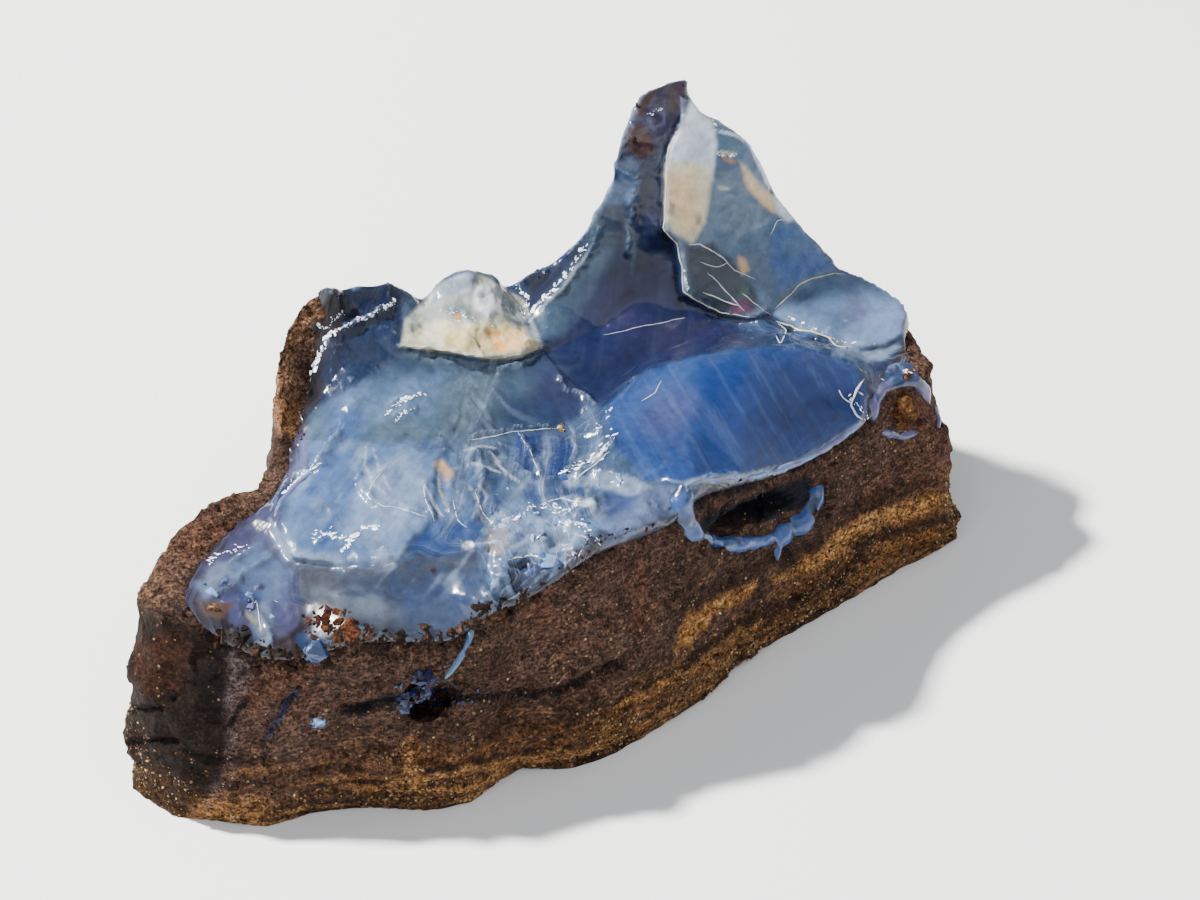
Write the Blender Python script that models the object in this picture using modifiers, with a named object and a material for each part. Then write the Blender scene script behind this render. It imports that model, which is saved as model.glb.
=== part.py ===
"""Rough opal specimen: a broken block of banded ironstone whose trough is filled with blue opal.

Two subcomponents: ironstone_matrix (base, front and back walls, crust of the left shoulder, right
end) and opal (basin, lens, dark wall, spire, thin flakes, mound and plate).  The piece rests flat
on z = 0, its length runs along X and its long broken face looks towards -Y.
Points are written in millimetres; the mesh is built in metres.
"""
import math
import bpy
import bmesh
import numpy as np
from mathutils import Matrix, Vector
from mathutils.geometry import delaunay_2d_cdt

MM = 0.001
SHIFT = (-0.7, -0.2)        # plan shift that centres the finished piece, mm
HALF_GAP = 0.15             # half of the clearance between the two stones, mm
TROUGH_Z = 8.6              # floor of the trough under the opal, mm
TROUGH_ENDS = (-17.5, 21.0) # X of the two ends of the trough's middle line, mm
TROUGH_Y, TROUGH_SLOPE = -3.2, 0.09     # that line's Y where X is 0, mm, and its slope
TROUGH_PULL = 0.86          # how far along X the line follows the rim
VIEW_TURN = math.radians(-28)
VIEW_RISE = math.radians(38)
VIEW_FAR = 300.0            # distance of the point the top is laid out from, mm
VIEW_AIM = np.array((4.9, -1.8, 12.2))
VIEW_BACK = np.array((math.sin(VIEW_TURN) * math.cos(VIEW_RISE), -math.cos(VIEW_TURN) * math.cos(VIEW_RISE),
                      math.sin(VIEW_RISE)))
VIEW_RIGHT = np.array((math.cos(VIEW_TURN), math.sin(VIEW_TURN), 0.0))
VIEW_UP = np.cross(VIEW_BACK, VIEW_RIGHT)
BODY_TRIANGLES = 6300
SHEET_SHARE = 0.5           # share of the seam sheet's triangles that is kept
LUMP_SIZE, LUMP_HEIGHT = 6.0, 1.3   # broken relief on the walls, mm
GRIT_SIZE, GRIT_HEIGHT = 1.9, 0.55
GROUND = 0.12               # what is lower than this lies on the ground, mm
LID_Z = 45.0                # top of the seam cutters, well above the stone, mm
MERGE, SLIVER = 0.04, 0.02  # corners closer than this are one; thinner triangles go, mm
RELIEF_SHARES = (0.3, 1.0, 1.0, 1.0, 0.8)   # how much relief each row of the walls takes, from the rim down
STEP_SHARES = (0.35, 0.8, 1.0)      # depth of a step at its ends, next to them, and along it
STEP_SLANT = 0.3            # how far a step's foot stands out from its edge, mm
FLAT_BEND, FULL_BEND = 14.0, 50.0   # bends of the top, in degrees, that start and end its creasing
MOST_CREASE = 0.75
BLUE_OPAL, OPAL_ROUGHNESS = (0.16, 0.27, 0.52), 0.12
BROWN_IRONSTONE, ROCK_ROUGHNESS = (0.12, 0.075, 0.045), 0.85

# front rim, left tip to right end: x, y, z of the rim and x, y of the foot below it
FRONT = (
    (-26.5, -3.5, 14.0, -27.4, -3.7), (-24.8, -7.0, 15.0, -26.1, -7.2),
    (-22.7, -8.2, 13.0, -23.8, -8.8), (-20.5, -9.5, 12.0, -21.6, -10.6),
    (-18.5, -10.5, 12.1, -18.7, -10.6), (-15.7, -11.5, 13.6, -15.9, -11.6),
    (-11.8, -12.5, 11.9, -12.7, -13.7), (-9.4, -12.8, 11.8, -10.2, -14.2),
    (-8.7, -13.0, 13.7, -8.3, -13.4), (-6.0, -12.5, 12.6, -6.3, -12.8),
    (-3.4, -12.5, 13.8, -4.0, -14.2), (-1.4, -12.5, 15.2, -1.9, -14.5),
    (1.7, -12.2, 14.7, 1.2, -13.9), (4.9, -11.5, 14.0, 4.8, -12.9),
    (6.0, -11.1, 15.8, 7.3, -12.0), (10.5, -9.5, 13.5, 9.9, -10.4),
    (14.5, -8.0, 11.8, 13.9, -9.6), (17.8, -7.0, 11.6, 17.1, -8.9),
    (20.8, -6.2, 11.7, 20.5, -8.1), (22.5, -5.5, 12.5, 23.4, -7.3),
    (24.4, -4.8, 12.9, 25.3, -7.1), (27.0, -4.0, 12.0, 27.9, -6.5))

RIGHT_END = ((26.8, -1.5, 12.5), (27.8, 0.8, 13.6))

# crest from the right end over the spire and the mound to the left tip
CREST = (
    (26.8, 2.5, 14.3), (24.5, 4.3, 15.3), (22.8, 5.6, 18.1), (21.3, 6.6, 20.6),
    (20.3, 7.6, 23.8), (18.6, 8.2, 25.6), (17.3, 8.6, 26.5), (16.9, 9.0, 27.4),
    (16.9, 9.2, 28.9), (15.3, 9.4, 28.9), (13.6, 9.5, 28.4), (13.1, 9.4, 26.7),
    (12.0, 9.3, 25.1), (11.5, 9.3, 22.2), (10.2, 9.5, 19.7), (8.4, 10.0, 17.4),
    (6.3, 10.6, 17.0), (5.5, 10.8, 15.9), (4.1, 11.0, 17.0), (2.5, 11.0, 18.0),
    (0.8, 11.2, 17.6), (-0.2, 11.3, 16.5), (-1.5, 11.3, 17.8), (-2.5, 11.3, 18.9),
    (-5.5, 11.3, 19.2), (-7.3, 11.0, 20.3), (-9.8, 9.6, 20.4), (-12.1, 7.3, 18.2),
    (-13.0, 4.5, 15.9), (-14.7, 2.8, 14.0), (-16.9, 2.3, 14.2), (-20.0, 1.0, 15.3),
    (-23.6, -1.2, 14.2))

# foot of the hidden sides, right end to left tip
BACK_FOOT = (
    (28.2, -4.0), (28.4, -1.5), (27.2, 1.8), (26.1, 5.6), (22.2, 9.1), (19.4, 12.6),
    (14.6, 13.7), (9.6, 14.8), (4.0, 14.0), (-1.0, 14.6), (-5.6, 13.2), (-10.2, 11.8),
    (-13.4, 7.9), (-17.4, 4.9), (-21.8, 2.6), (-25.3, 0.2))

# step edges of the top: each is walked with its lower side on the right hand
FLAKE_EDGE = (
    (16.0, 8.6, 27.8), (15.8, 8.2, 26.3), (14.7, 7.8, 25.1), (14.3, 7.4, 23.5),
    (14.1, 6.9, 21.3), (13.8, 6.6, 20.2), (14.5, 6.3, 19.1), (14.6, 5.7, 17.4),
    (14.4, 5.2, 16.1), (15.3, 4.7, 15.3), (16.3, 4.2, 14.6), (17.9, 3.2, 14.3),
    (19.0, 2.7, 14.5))
LOW_FLAKE_EDGE = (
    (19.6, 2.2, 14.3), (20.4, 0.9, 13.9), (21.6, -0.2, 13.8), (23.0, -1.6, 13.3),
    (24.7, -1.8, 13.1), (26.1, -1.4, 13.3))
MOUND_EDGE = (
    (-3.9, 7.0, 17.3), (-2.9, 6.6, 17.1), (-1.3, 5.8, 16.8), (-0.3, 5.0, 16.5),
    (0.9, 4.8, 16.1), (3.1, 5.2, 15.3), (5.2, 6.2, 14.5))
PLATE_EDGE = (
    (-12.1, 0.3, 15.9), (-13.8, -0.6, 15.4), (-15.6, -1.4, 14.9), (-16.4, -2.8, 14.6),
    (-16.7, -4.8, 14.4), (-14.7, -6.1, 14.2))
STEPS = ((FLAKE_EDGE, 0.6), (LOW_FLAKE_EDGE, 0.45), (MOUND_EDGE, 0.9), (PLATE_EDGE, 0.7))

# ridges and valleys of the top, with the sharpness each keeps
LENS_ARC = (
    (4.3, -9.3, 15.4), (4.6, -3.8, 15.2), (5.6, -1.0, 14.6), (8.3, 0.3, 15.0),
    (10.6, 0.0, 15.6), (12.8, -1.1, 16.2), (15.5, -1.8, 16.2), (18.3, -2.6, 15.8),
    (20.1, -3.1, 15.0), (21.4, -4.0, 14.2), (21.3, -5.2, 13.4))
VALLEY = (
    (3.7, -0.4, 13.4), (5.9, 1.3, 13.5), (9.9, 2.5, 14.0), (12.8, 2.6, 14.2),
    (15.9, 3.4, 14.1), (18.1, 2.1, 14.0))
WALL_FOOT = ((5.9, 1.3, 13.5), (7.5, 3.1, 14.0), (11.1, 4.6, 14.8), (13.6, 5.3, 14.8))
GLOSS_RIDGE = ((5.7, 9.0, 14.8), (7.3, 9.2, 15.6), (8.9, 9.3, 16.8), (10.1, 9.3, 18.2))
GREY_EDGE = ((5.9, 1.3, 13.5), (5.1, 3.7, 14.2), (2.7, 4.2, 14.6), (-0.6, 3.2, 14.6),
             (-0.7, 0.5, 14.2), (1.7, -0.2, 13.6), (3.7, -0.4, 13.4))
CRUST = (
    (-6.7, 10.4, 20.1), (-8.0, 9.0, 18.6), (-9.6, 7.6, 17.1), (-10.9, 5.4, 15.7),
    (-13.4, 2.6, 14.8), (-15.4, 0.7, 14.3), (-17.9, -0.3, 14.2), (-20.2, -1.6, 14.0),
    (-22.9, -4.0, 14.1), (-24.2, -6.0, 14.7))
SHOULDER_RIDGE = ((-6.7, 10.4, 20.1), (-6.0, 9.6, 18.1), (-3.6, 9.8, 18.3), (-2.3, 10.2, 17.8))
CREASES = ((LENS_ARC, 0.8), (VALLEY, 0.35), (WALL_FOOT, 0.3), (GLOSS_RIDGE, 0.6),
           (GREY_EDGE, 0.5), (CRUST, 0.6), (SHOULDER_RIDGE, 0.5))

# single points that shape the faces between the edges
FACES = (
    (8.7, -6.0, 15.2), (12.2, -5.8, 14.9), (16.6, -5.5, 13.9),
    (12.3, 6.9, 15.2), (12.8, 7.9, 18.1), (13.1, 8.4, 21.5), (13.7, 8.6, 23.7),
    (9.4, 6.6, 14.1), (10.2, 8.2, 16.6), (11.3, 8.7, 18.9),
    (16.9, 5.2, 17.7), (17.5, 6.3, 21.3), (16.6, 7.2, 24.0), (19.2, 7.0, 23.3),
    (19.0, 5.9, 19.6), (21.1, 5.6, 17.9), (22.2, 4.4, 16.5), (21.6, 3.4, 15.0),
    (23.3, 1.4, 14.9), (24.9, 0.4, 13.9), (22.6, -3.4, 13.0), (24.8, -3.0, 12.7),
    (-0.6, 8.4, 17.2), (1.3, 8.2, 17.4), (3.1, 7.8, 16.2),
    (2.6, 2.0, 13.9), (-2.5, 4.7, 15.4), (-3.8, 6.1, 16.0),
    (-9.9, 6.5, 15.7), (-7.3, 7.0, 17.3), (-4.8, 7.4, 16.9),
    (-9.4, 2.7, 16.6), (-12.2, -3.1, 15.7), (-7.8, -0.6, 16.0), (-3.9, 3.3, 15.7),
    (-10.3, -5.8, 15.4), (-6.2, -3.9, 15.5), (-18.8, -1.9, 14.0),
    (-20.2, -6.3, 13.6), (-17.6, -7.5, 13.5), (-15.1, -8.8, 14.2), (-12.7, -10.6, 13.8),
    (-10.2, -10.6, 13.6), (-13.4, -7.4, 14.3), (-4.3, -6.7, 15.3), (-7.3, -8.7, 14.8),
    (-5.0, -10.5, 14.9), (-1.4, -8.7, 15.2), (1.5, -6.4, 15.3), (-0.5, -4.3, 14.8))

# columns of the crest where the back of the stone starts, where its left shoulder starts, and the spire's
BACK_FROM, SHOULDER_FROM = 2, 25
SPIRE_COLUMNS = range(7, 12)
TIP_COLUMNS = 2             # columns of the front rim that belong to the left tip

# how the seam between the stones leaves each stretch of the rim: shift of its exit outwards and up, shift of
# the sheet's outer end outwards and up (mm), and how fast it falls inwards; the first two follow the crust line
SEAM = {
    "left_tip": (0.0, 0.0, 2.0, 3.0, 0.16),
    "shoulder": (0.0, 0.0, 2.0, 3.0, 0.14),
    "front": (0.0, -0.35, 4.0, 0.25, 0.2),
    "front_end": (-1.2, 0.1, 2.0, 2.5, 0.2),
    "right_end": (0.3, -1.3, 4.3, -0.3, 0.12),
    "spire": (0.5, -0.8, 4.5, 0.2, 0.05),
    "back": (0.9, -2.2, 4.9, -1.2, 0.05),
}
SEAM_FALLS = (0.5, 0.85)    # share of the fall reached by the sheet's two middle rows
SECOND_ROW, FLOOR_ROW = 0.2, 0.62   # how far in the second row is past the first, and the floor's row

# hollows in the front wall: two ends of the long axis, half height, depth, mm
SLIT = ((6.9, -11.8, 11.7), (15.2, -9.2, 9.5), 0.95, 2.4)
CAVITY = ((-13.6, -13.2, 7.6), (-9.8, -13.9, 8.4), 1.0, 1.7)
POCKET_PINCH, POCKET_WAVE = 0.4, 0.3    # a pocket narrows to its far end, and its middle line waves

# profile of the walls: share of the way down and how far it stands out, mm
FRONT_WALL = ((0.08, 0.05), (0.3, 0.45), (0.5, 0.6), (0.6, 0.15), (0.85, 0.45))
BACK_WALL = ((0.035, 0.6), (0.25, 1.2), (0.45, 1.5), (0.6, 1.0), (0.85, 0.9))
SHOULDER_WALL = ((0.05, 0.1), (0.25, 0.2), (0.5, 0.5), (0.62, 0.3), (0.85, 0.5))


def sight(p):
    """Position of a point as the top is laid out from the raised front view."""
    q = np.asarray(p, float) - VIEW_AIM
    scale = VIEW_FAR / (VIEW_FAR - q @ VIEW_BACK)
    return q @ VIEW_RIGHT * scale, q @ VIEW_UP * scale


def step_foot(edge, step):
    """Foot of a step edge: a little to its right hand in the layout and deeper by the step."""
    flat = [sight(p) for p in edge]
    out = []
    last = len(edge) - 1
    for i, p in enumerate(edge):
        a, b = flat[max(i - 1, 0)], flat[min(i + 1, last)]
        du, dw = b[0] - a[0], b[1] - a[1]
        size = math.hypot(du, dw)
        nu, nw = dw / size, -du / size
        near_end = min(i, last - i)
        depth = step * STEP_SHARES[min(near_end, len(STEP_SHARES) - 1)]
        slant = (VIEW_RIGHT * nu + VIEW_UP * nw) * STEP_SLANT
        out.append(tuple(np.array(p) + slant - VIEW_BACK * depth))
    return out


def resample(line, fractions):
    """Points of a plan line at the given fractions of its length."""
    line = np.array(line, float)
    run = np.concatenate(([0.0], np.cumsum(np.linalg.norm(np.diff(line, axis=0), axis=1))))
    run /= run[-1]
    return [tuple(np.interp(f, run, line[:, k]) for k in range(2)) for f in fractions]


def columns():
    """Rim points all the way round with the foot point below each."""
    rim = [c[:3] for c in FRONT] + list(RIGHT_END) + list(CREST)
    hidden = [FRONT[-1][:3]] + list(RIGHT_END) + list(CREST) + [FRONT[0][:3]]
    plan = np.array([p[:2] for p in hidden])
    run = np.concatenate(([0.0], np.cumsum(np.linalg.norm(np.diff(plan, axis=0), axis=1))))
    run /= run[-1]
    line = [FRONT[-1][3:]] + list(BACK_FOOT) + [FRONT[0][3:]]
    back_feet = resample(line, run[1:-1])
    return rim, [c[3:] for c in FRONT] + back_feet


def outward(feet, i):
    """Plan direction pointing away from the stone at column i."""
    n = len(feet)
    a, b = np.array(feet[i - 2]), np.array(feet[(i + 2) % n])
    d = b - a
    d /= np.linalg.norm(d)
    return np.array((d[1], -d[0]))


def new_object(name, verts, faces, home):
    mesh = bpy.data.meshes.new(name)
    mesh.from_pydata([tuple(c * MM for c in v) for v in verts], [], faces)
    mesh.update()
    obj = bpy.data.objects.new(name, mesh)
    home.objects.link(obj)
    return obj


def face_outwards(obj):
    bm = bmesh.new()
    bm.from_mesh(obj.data)
    bmesh.ops.recalc_face_normals(bm, faces=bm.faces)
    bm.to_mesh(obj.data)
    bm.free()


def apply_all(obj):
    """Apply every modifier of an object, in order."""
    for other in bpy.context.selected_objects:
        other.select_set(False)
    bpy.context.view_layer.objects.active = obj
    obj.select_set(True)
    for mod in list(obj.modifiers):
        bpy.ops.object.modifier_apply(modifier=mod.name)
    obj.select_set(False)


def top_triangles(rim):
    """Lay the broken top out between its rim, edges and single points."""
    points, index = [], {}

    def add(p):
        key = tuple(round(float(c), 3) for c in p)
        if key not in index:
            index[key] = len(points)
            points.append(key)
        return index[key]

    loop = [add(p) for p in rim]
    lines = []
    for edge, step in STEPS:
        lines.append(([add(p) for p in edge], 1.0))
        lines.append(([add(p) for p in step_foot(edge, step)], 0.8))
    for edge, crease in CREASES:
        lines.append(([add(p) for p in edge], crease))
    for p in FACES:
        add(p)
    flat = [Vector(sight(p)) for p in points]
    edges = [(a, b) for line, _ in lines for a, b in zip(line, line[1:])]
    result = delaunay_2d_cdt(flat, edges, [loop], 1, 1e-5)
    verts, faces, origin = result[0], result[2], result[3]
    spare = [i for i, o in enumerate(origin) if not o]
    if spare:
        raise RuntimeError("edges of the top cross near " + str([tuple(verts[i]) for i in spare]))
    back_to = [o[0] for o in origin]
    tris = [tuple(back_to[i] for i in f) for f in faces]
    sharp = {tuple(sorted((a, b))): c for line, c in lines for a, b in zip(line, line[1:])}
    return points, tris, sharp, loop


def wall_profile(i):
    """Profile rows of the wall below rim column i."""
    crest_no = i - len(FRONT) - len(RIGHT_END)
    if crest_no >= SHOULDER_FROM:
        return SHOULDER_WALL
    if crest_no >= BACK_FROM:
        return BACK_WALL
    return FRONT_WALL


def rock(home):
    """The whole stone as one closed body: broken top, walls all round, flat base."""
    rim, feet = columns()
    points, tris, sharp, loop = top_triangles(rim)
    top_count = len(points)
    n = len(rim)
    rows = [loop]
    for r in range(len(FRONT_WALL)):
        row = []
        for i in range(n):
            t, swell = wall_profile(i)[r]
            out = outward(feet, i) * swell
            x = rim[i][0] + (feet[i][0] - rim[i][0]) * t + out[0]
            y = rim[i][1] + (feet[i][1] - rim[i][1]) * t + out[1]
            row.append(len(points))
            points.append((x, y, rim[i][2] * (1.0 - t)))
        rows.append(row)
    foot = []
    for x, y in feet:
        foot.append(len(points))
        points.append((x, y, 0.0))
    rows.append(foot)
    faces = list(tris)
    for upper, lower in zip(rows, rows[1:]):
        for i in range(n):
            j = (i + 1) % n
            faces.append((upper[i], lower[i], lower[j], upper[j]))
    faces.append(tuple(reversed(foot)))
    obj = new_object("stone", points, faces, home)
    face_outwards(obj)
    crease_stone(obj, sharp, loop, foot, top_count)
    walls = obj.vertex_groups.new(name="walls")
    for row, share in zip(rows[1:-1], RELIEF_SHARES):
        walls.add(row, share, "REPLACE")
    walls.add(foot, 0.0, "REPLACE")
    sub = obj.modifiers.new("round", "SUBSURF")
    sub.levels = 2
    sub.render_levels = 2
    relief(obj, "lumps", "HARD_NOISE", LUMP_SIZE, LUMP_HEIGHT)
    relief(obj, "grit", "SOFT_NOISE", GRIT_SIZE, GRIT_HEIGHT)
    apply_all(obj)
    thin = obj.modifiers.new("thin", "DECIMATE")
    obj.data.calc_loop_triangles()
    thin.ratio = BODY_TRIANGLES / len(obj.data.loop_triangles)
    apply_all(obj)
    flatten_base(obj)
    return obj


def crease_stone(obj, sharp, loop, foot, top_count):
    """Keep the rim and foot crisp, and every edge of the top as sharp as it is bent."""
    bm = bmesh.new()
    bm.from_mesh(obj.data)
    on_edge = bm.edges.layers.float.new("crease_edge")
    on_vert = bm.verts.layers.float.new("crease_vert")
    bm.verts.ensure_lookup_table()
    base = {tuple(sorted((a, b))) for a, b in zip(foot, foot[1:] + foot[:1])}
    ring = {tuple(sorted((a, b))) for a, b in zip(loop, loop[1:] + loop[:1])}
    for edge in bm.edges:
        key = tuple(sorted(v.index for v in edge.verts))
        if key in base:
            edge[on_edge] = 1.0
        elif key in ring:
            edge[on_edge] = 0.9
        elif key[1] < top_count:
            bend = math.degrees(edge.calc_face_angle(0.0))
            own = max(0.0, min(MOST_CREASE, (bend - FLAT_BEND) / (FULL_BEND - FLAT_BEND)))
            edge[on_edge] = max(own, sharp.get(key, 0.0))
    for v in bm.verts:
        if v.index in loop:
            v[on_vert] = 0.75
        elif v.index < top_count:
            v[on_vert] = 0.3
        elif v.index in foot:
            v[on_vert] = 0.5
    bm.to_mesh(obj.data)
    bm.free()


def relief(obj, name, kind, size, height):
    """Broken relief on the walls only; hard noise stands out more than it cuts in."""
    tex = bpy.data.textures.new(name, "CLOUDS")
    tex.noise_type = kind
    tex.noise_scale = size * MM
    tex.noise_depth = 2
    mod = obj.modifiers.new(name, "DISPLACE")
    mod.texture = tex
    mod.texture_coords = "LOCAL"
    mod.vertex_group = "walls"
    mod.mid_level = 0.5 if kind == "SOFT_NOISE" else 0.22
    mod.strength = height * MM


def flatten_base(obj):
    """Everything within a hair of the ground lies exactly on it."""
    for v in obj.data.vertices:
        if v.co.z < GROUND * MM:
            v.co.z = 0.0


def seam_stretch(i):
    """Name of the seam's stretch at rim column i."""
    crest_no = i - len(FRONT) - len(RIGHT_END)
    if i < TIP_COLUMNS:
        return "left_tip"
    if i < len(FRONT) - 2:
        return "front"
    if crest_no < -1:
        return "front_end"
    if crest_no < BACK_FROM:
        return "right_end"
    if crest_no < SHOULDER_FROM:
        return "spire" if crest_no in SPIRE_COLUMNS else "back"
    return "shoulder"


def seam_rows():
    """Loops of the sheet between the two stones, from outside the walls down to the trough floor."""
    rim, feet = columns()
    shoulder_start = len(FRONT) + len(RIGHT_END) + SHOULDER_FROM
    outs, exits, first, second, floor = [], [], [], [], []
    for i, p in enumerate(rim):
        p = np.array(p, float)
        out = np.append(outward(feet, i), 0.0)
        stretch = seam_stretch(i)
        exit_out, exit_up, outer_out, outer_up, low = SEAM[stretch]
        if stretch == "shoulder":
            e = np.array(CRUST[i - shoulder_start])
        elif stretch == "left_tip":
            e = np.array(CRUST[i - TIP_COLUMNS])
        else:
            e = p + out * exit_out + (0, 0, exit_up)
        along = max(TROUGH_ENDS[0], min(TROUGH_ENDS[1], e[0] * TROUGH_PULL))
        axis = np.array((along, TROUGH_Y + TROUGH_SLOPE * e[0]))
        way = axis - e[:2]
        fall = e[2] - TROUGH_Z
        outs.append(p + out * outer_out + (0, 0, outer_up))
        exits.append(e)
        first.append(np.append(e[:2] + way * low, e[2] - fall * SEAM_FALLS[0]))
        second.append(np.append(e[:2] + way * (low + SECOND_ROW), e[2] - fall * SEAM_FALLS[1]))
        floor.append(np.append(e[:2] + way * FLOOR_ROW, TROUGH_Z))
    return outs, exits, first, second, floor


def seam_cutter(name, shift, home):
    """Closed solid above the sheet; its underside is the sheet moved along its own normals."""
    rows = seam_rows()
    n = len(rows[0])
    points = [tuple(p) for row in rows for p in row]
    faces = []
    for r in range(len(rows) - 1):
        for i in range(n):
            j = (i + 1) % n
            a, b = r * n, (r + 1) * n
            faces.append((a + i, a + j, b + j, b + i))
    faces.append(tuple((len(rows) - 1) * n + i for i in range(n)))
    obj = new_object(name, points, faces, home)
    sub = obj.modifiers.new("round", "SUBSURF")
    sub.levels = 1
    sub.render_levels = 1
    thin = obj.modifiers.new("thin", "DECIMATE")
    thin.ratio = SHEET_SHARE
    apply_all(obj)
    bm = bmesh.new()
    bm.from_mesh(obj.data)
    bmesh.ops.recalc_face_normals(bm, faces=bm.faces)
    if sum(f.normal.z * f.calc_area() for f in bm.faces) < 0:
        bmesh.ops.reverse_faces(bm, faces=bm.faces)
    bm.normal_update()
    moved = [(v, v.co + v.normal * shift * MM) for v in bm.verts]
    for v, co in moved:
        v.co = co
    rim = [e for e in bm.edges if e.is_boundary]
    grown = bmesh.ops.extrude_edge_only(bm, edges=rim)
    top = [g for g in grown["geom"] if isinstance(g, bmesh.types.BMVert)]
    for v in top:
        v.co.z = LID_Z * MM
    lid = [g for g in grown["geom"] if isinstance(g, bmesh.types.BMEdge) and all(w in top for w in g.verts)]
    bmesh.ops.contextual_create(bm, geom=lid)
    bmesh.ops.recalc_face_normals(bm, faces=bm.faces)
    bmesh.ops.triangulate(bm, faces=bm.faces)
    bm.to_mesh(obj.data)
    bm.free()
    hide_cutter(obj)
    return obj


def hide_cutter(obj):
    obj.hide_render = True
    obj.display_type = "WIRE"


def pocket_cutter(name, spec, home):
    """Long flat pocket that opens in the front wall."""
    a, b = np.array(spec[0]), np.array(spec[1])
    high, depth = spec[2], spec[3]
    bpy.ops.mesh.primitive_ico_sphere_add(subdivisions=3, radius=1.0)
    obj = bpy.context.active_object
    obj.name = name
    for other in list(obj.users_collection):
        other.objects.unlink(obj)
    home.objects.link(obj)
    mid, way = (a + b) / 2, b - a
    half = np.linalg.norm(way) / 2
    along = way / np.linalg.norm(way)
    deep = np.cross((0, 0, 1), along)
    deep /= np.linalg.norm(deep)
    tall = np.cross(along, deep)
    for v in obj.data.vertices:
        x, y, z = v.co
        pinch = 1.0 - POCKET_PINCH * x
        wave = POCKET_WAVE * high * math.sin(2.4 * x + 0.6)
        p = mid + along * half * x + deep * depth * y + tall * (high * pinch * z + wave)
        v.co = tuple(c * MM for c in p)
    hide_cutter(obj)
    return obj


def cut(obj, cutter, operation):
    mod = obj.modifiers.new("cut", "BOOLEAN")
    mod.operation = operation
    mod.solver = "EXACT"
    mod.object = cutter
    apply_all(obj)


def clean(obj):
    """Merge hairline slivers, keep the one main body, triangles only, facing out."""
    bm = bmesh.new()
    bm.from_mesh(obj.data)
    bmesh.ops.remove_doubles(bm, verts=bm.verts, dist=MERGE * MM)
    bmesh.ops.dissolve_degenerate(bm, edges=bm.edges, dist=SLIVER * MM)
    bmesh.ops.triangulate(bm, faces=bm.faces)
    todo, parts = set(bm.verts), []
    while todo:
        seed = todo.pop()
        group, stack = {seed}, [seed]
        while stack:
            for edge in stack.pop().link_edges:
                for v in edge.verts:
                    if v in todo:
                        todo.discard(v)
                        group.add(v)
                        stack.append(v)
        parts.append(group)
    parts.sort(key=len)
    for group in parts[:-1]:
        bmesh.ops.delete(bm, geom=list(group), context="VERTS")
    bmesh.ops.recalc_face_normals(bm, faces=bm.faces)
    bm.to_mesh(obj.data)
    bm.free()


def stone_material(name, colour, rough):
    mat = bpy.data.materials.new(name)
    mat.use_nodes = True
    shader = mat.node_tree.nodes["Principled BSDF"]
    shader.inputs["Base Color"].default_value = (*colour, 1.0)
    shader.inputs["Roughness"].default_value = rough
    return mat


def duplicate(obj, name, home):
    twin = obj.copy()
    twin.data = obj.data.copy()
    twin.name = name
    twin.data.name = name
    home.objects.link(twin)
    return twin


def build():
    for obj in list(bpy.data.objects):
        bpy.data.objects.remove(obj, do_unlink=True)
    scene = bpy.context.scene
    home = bpy.data.collections.new("rough_opal_specimen")
    cutters = bpy.data.collections.new("cutters")
    scene.collection.children.link(home)
    scene.collection.children.link(cutters)
    stone = rock(cutters)
    cut(stone, pocket_cutter("slit_pocket", SLIT, cutters), "DIFFERENCE")
    cut(stone, pocket_cutter("cavity_pocket", CAVITY, cutters), "DIFFERENCE")
    above = seam_cutter("above_seam_opal", HALF_GAP, cutters)
    below = seam_cutter("above_seam_matrix", -HALF_GAP, cutters)
    opal = duplicate(stone, "opal", home)
    matrix = duplicate(stone, "ironstone_matrix", home)
    cut(opal, above, "INTERSECT")
    cut(matrix, below, "DIFFERENCE")
    for obj in (opal, matrix):
        clean(obj)
        obj.vertex_groups.clear()
        obj.data.transform(Matrix.Translation((SHIFT[0] * MM, SHIFT[1] * MM, 0.0)))
    opal.data.materials.clear()
    matrix.data.materials.clear()
    opal.data.materials.append(stone_material("blue_opal", BLUE_OPAL, OPAL_ROUGHNESS))
    matrix.data.materials.append(stone_material("brown_ironstone", BROWN_IRONSTONE, ROCK_ROUGHNESS))
    bpy.data.objects.remove(stone, do_unlink=True)


build()
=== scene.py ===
# %% [markdown]
# # A rough opal specimen
# A broken block of banded brown ironstone holds a mass of blue opal in its top.  Ironstone breaks
# rough and gritty, while opal breaks like glass, into smooth hollow faces that meet in sharp ridges.
# This lesson finishes both stones over the solid model: each stone is copied and given a fine skin,
# carved with small chips and ribs, tinted by listed zones, and then shaded.

# %% Load the solid model
import math
import bmesh
import bpy
import numpy as np
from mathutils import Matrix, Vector
from mathutils.bvhtree import BVHTree


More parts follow.
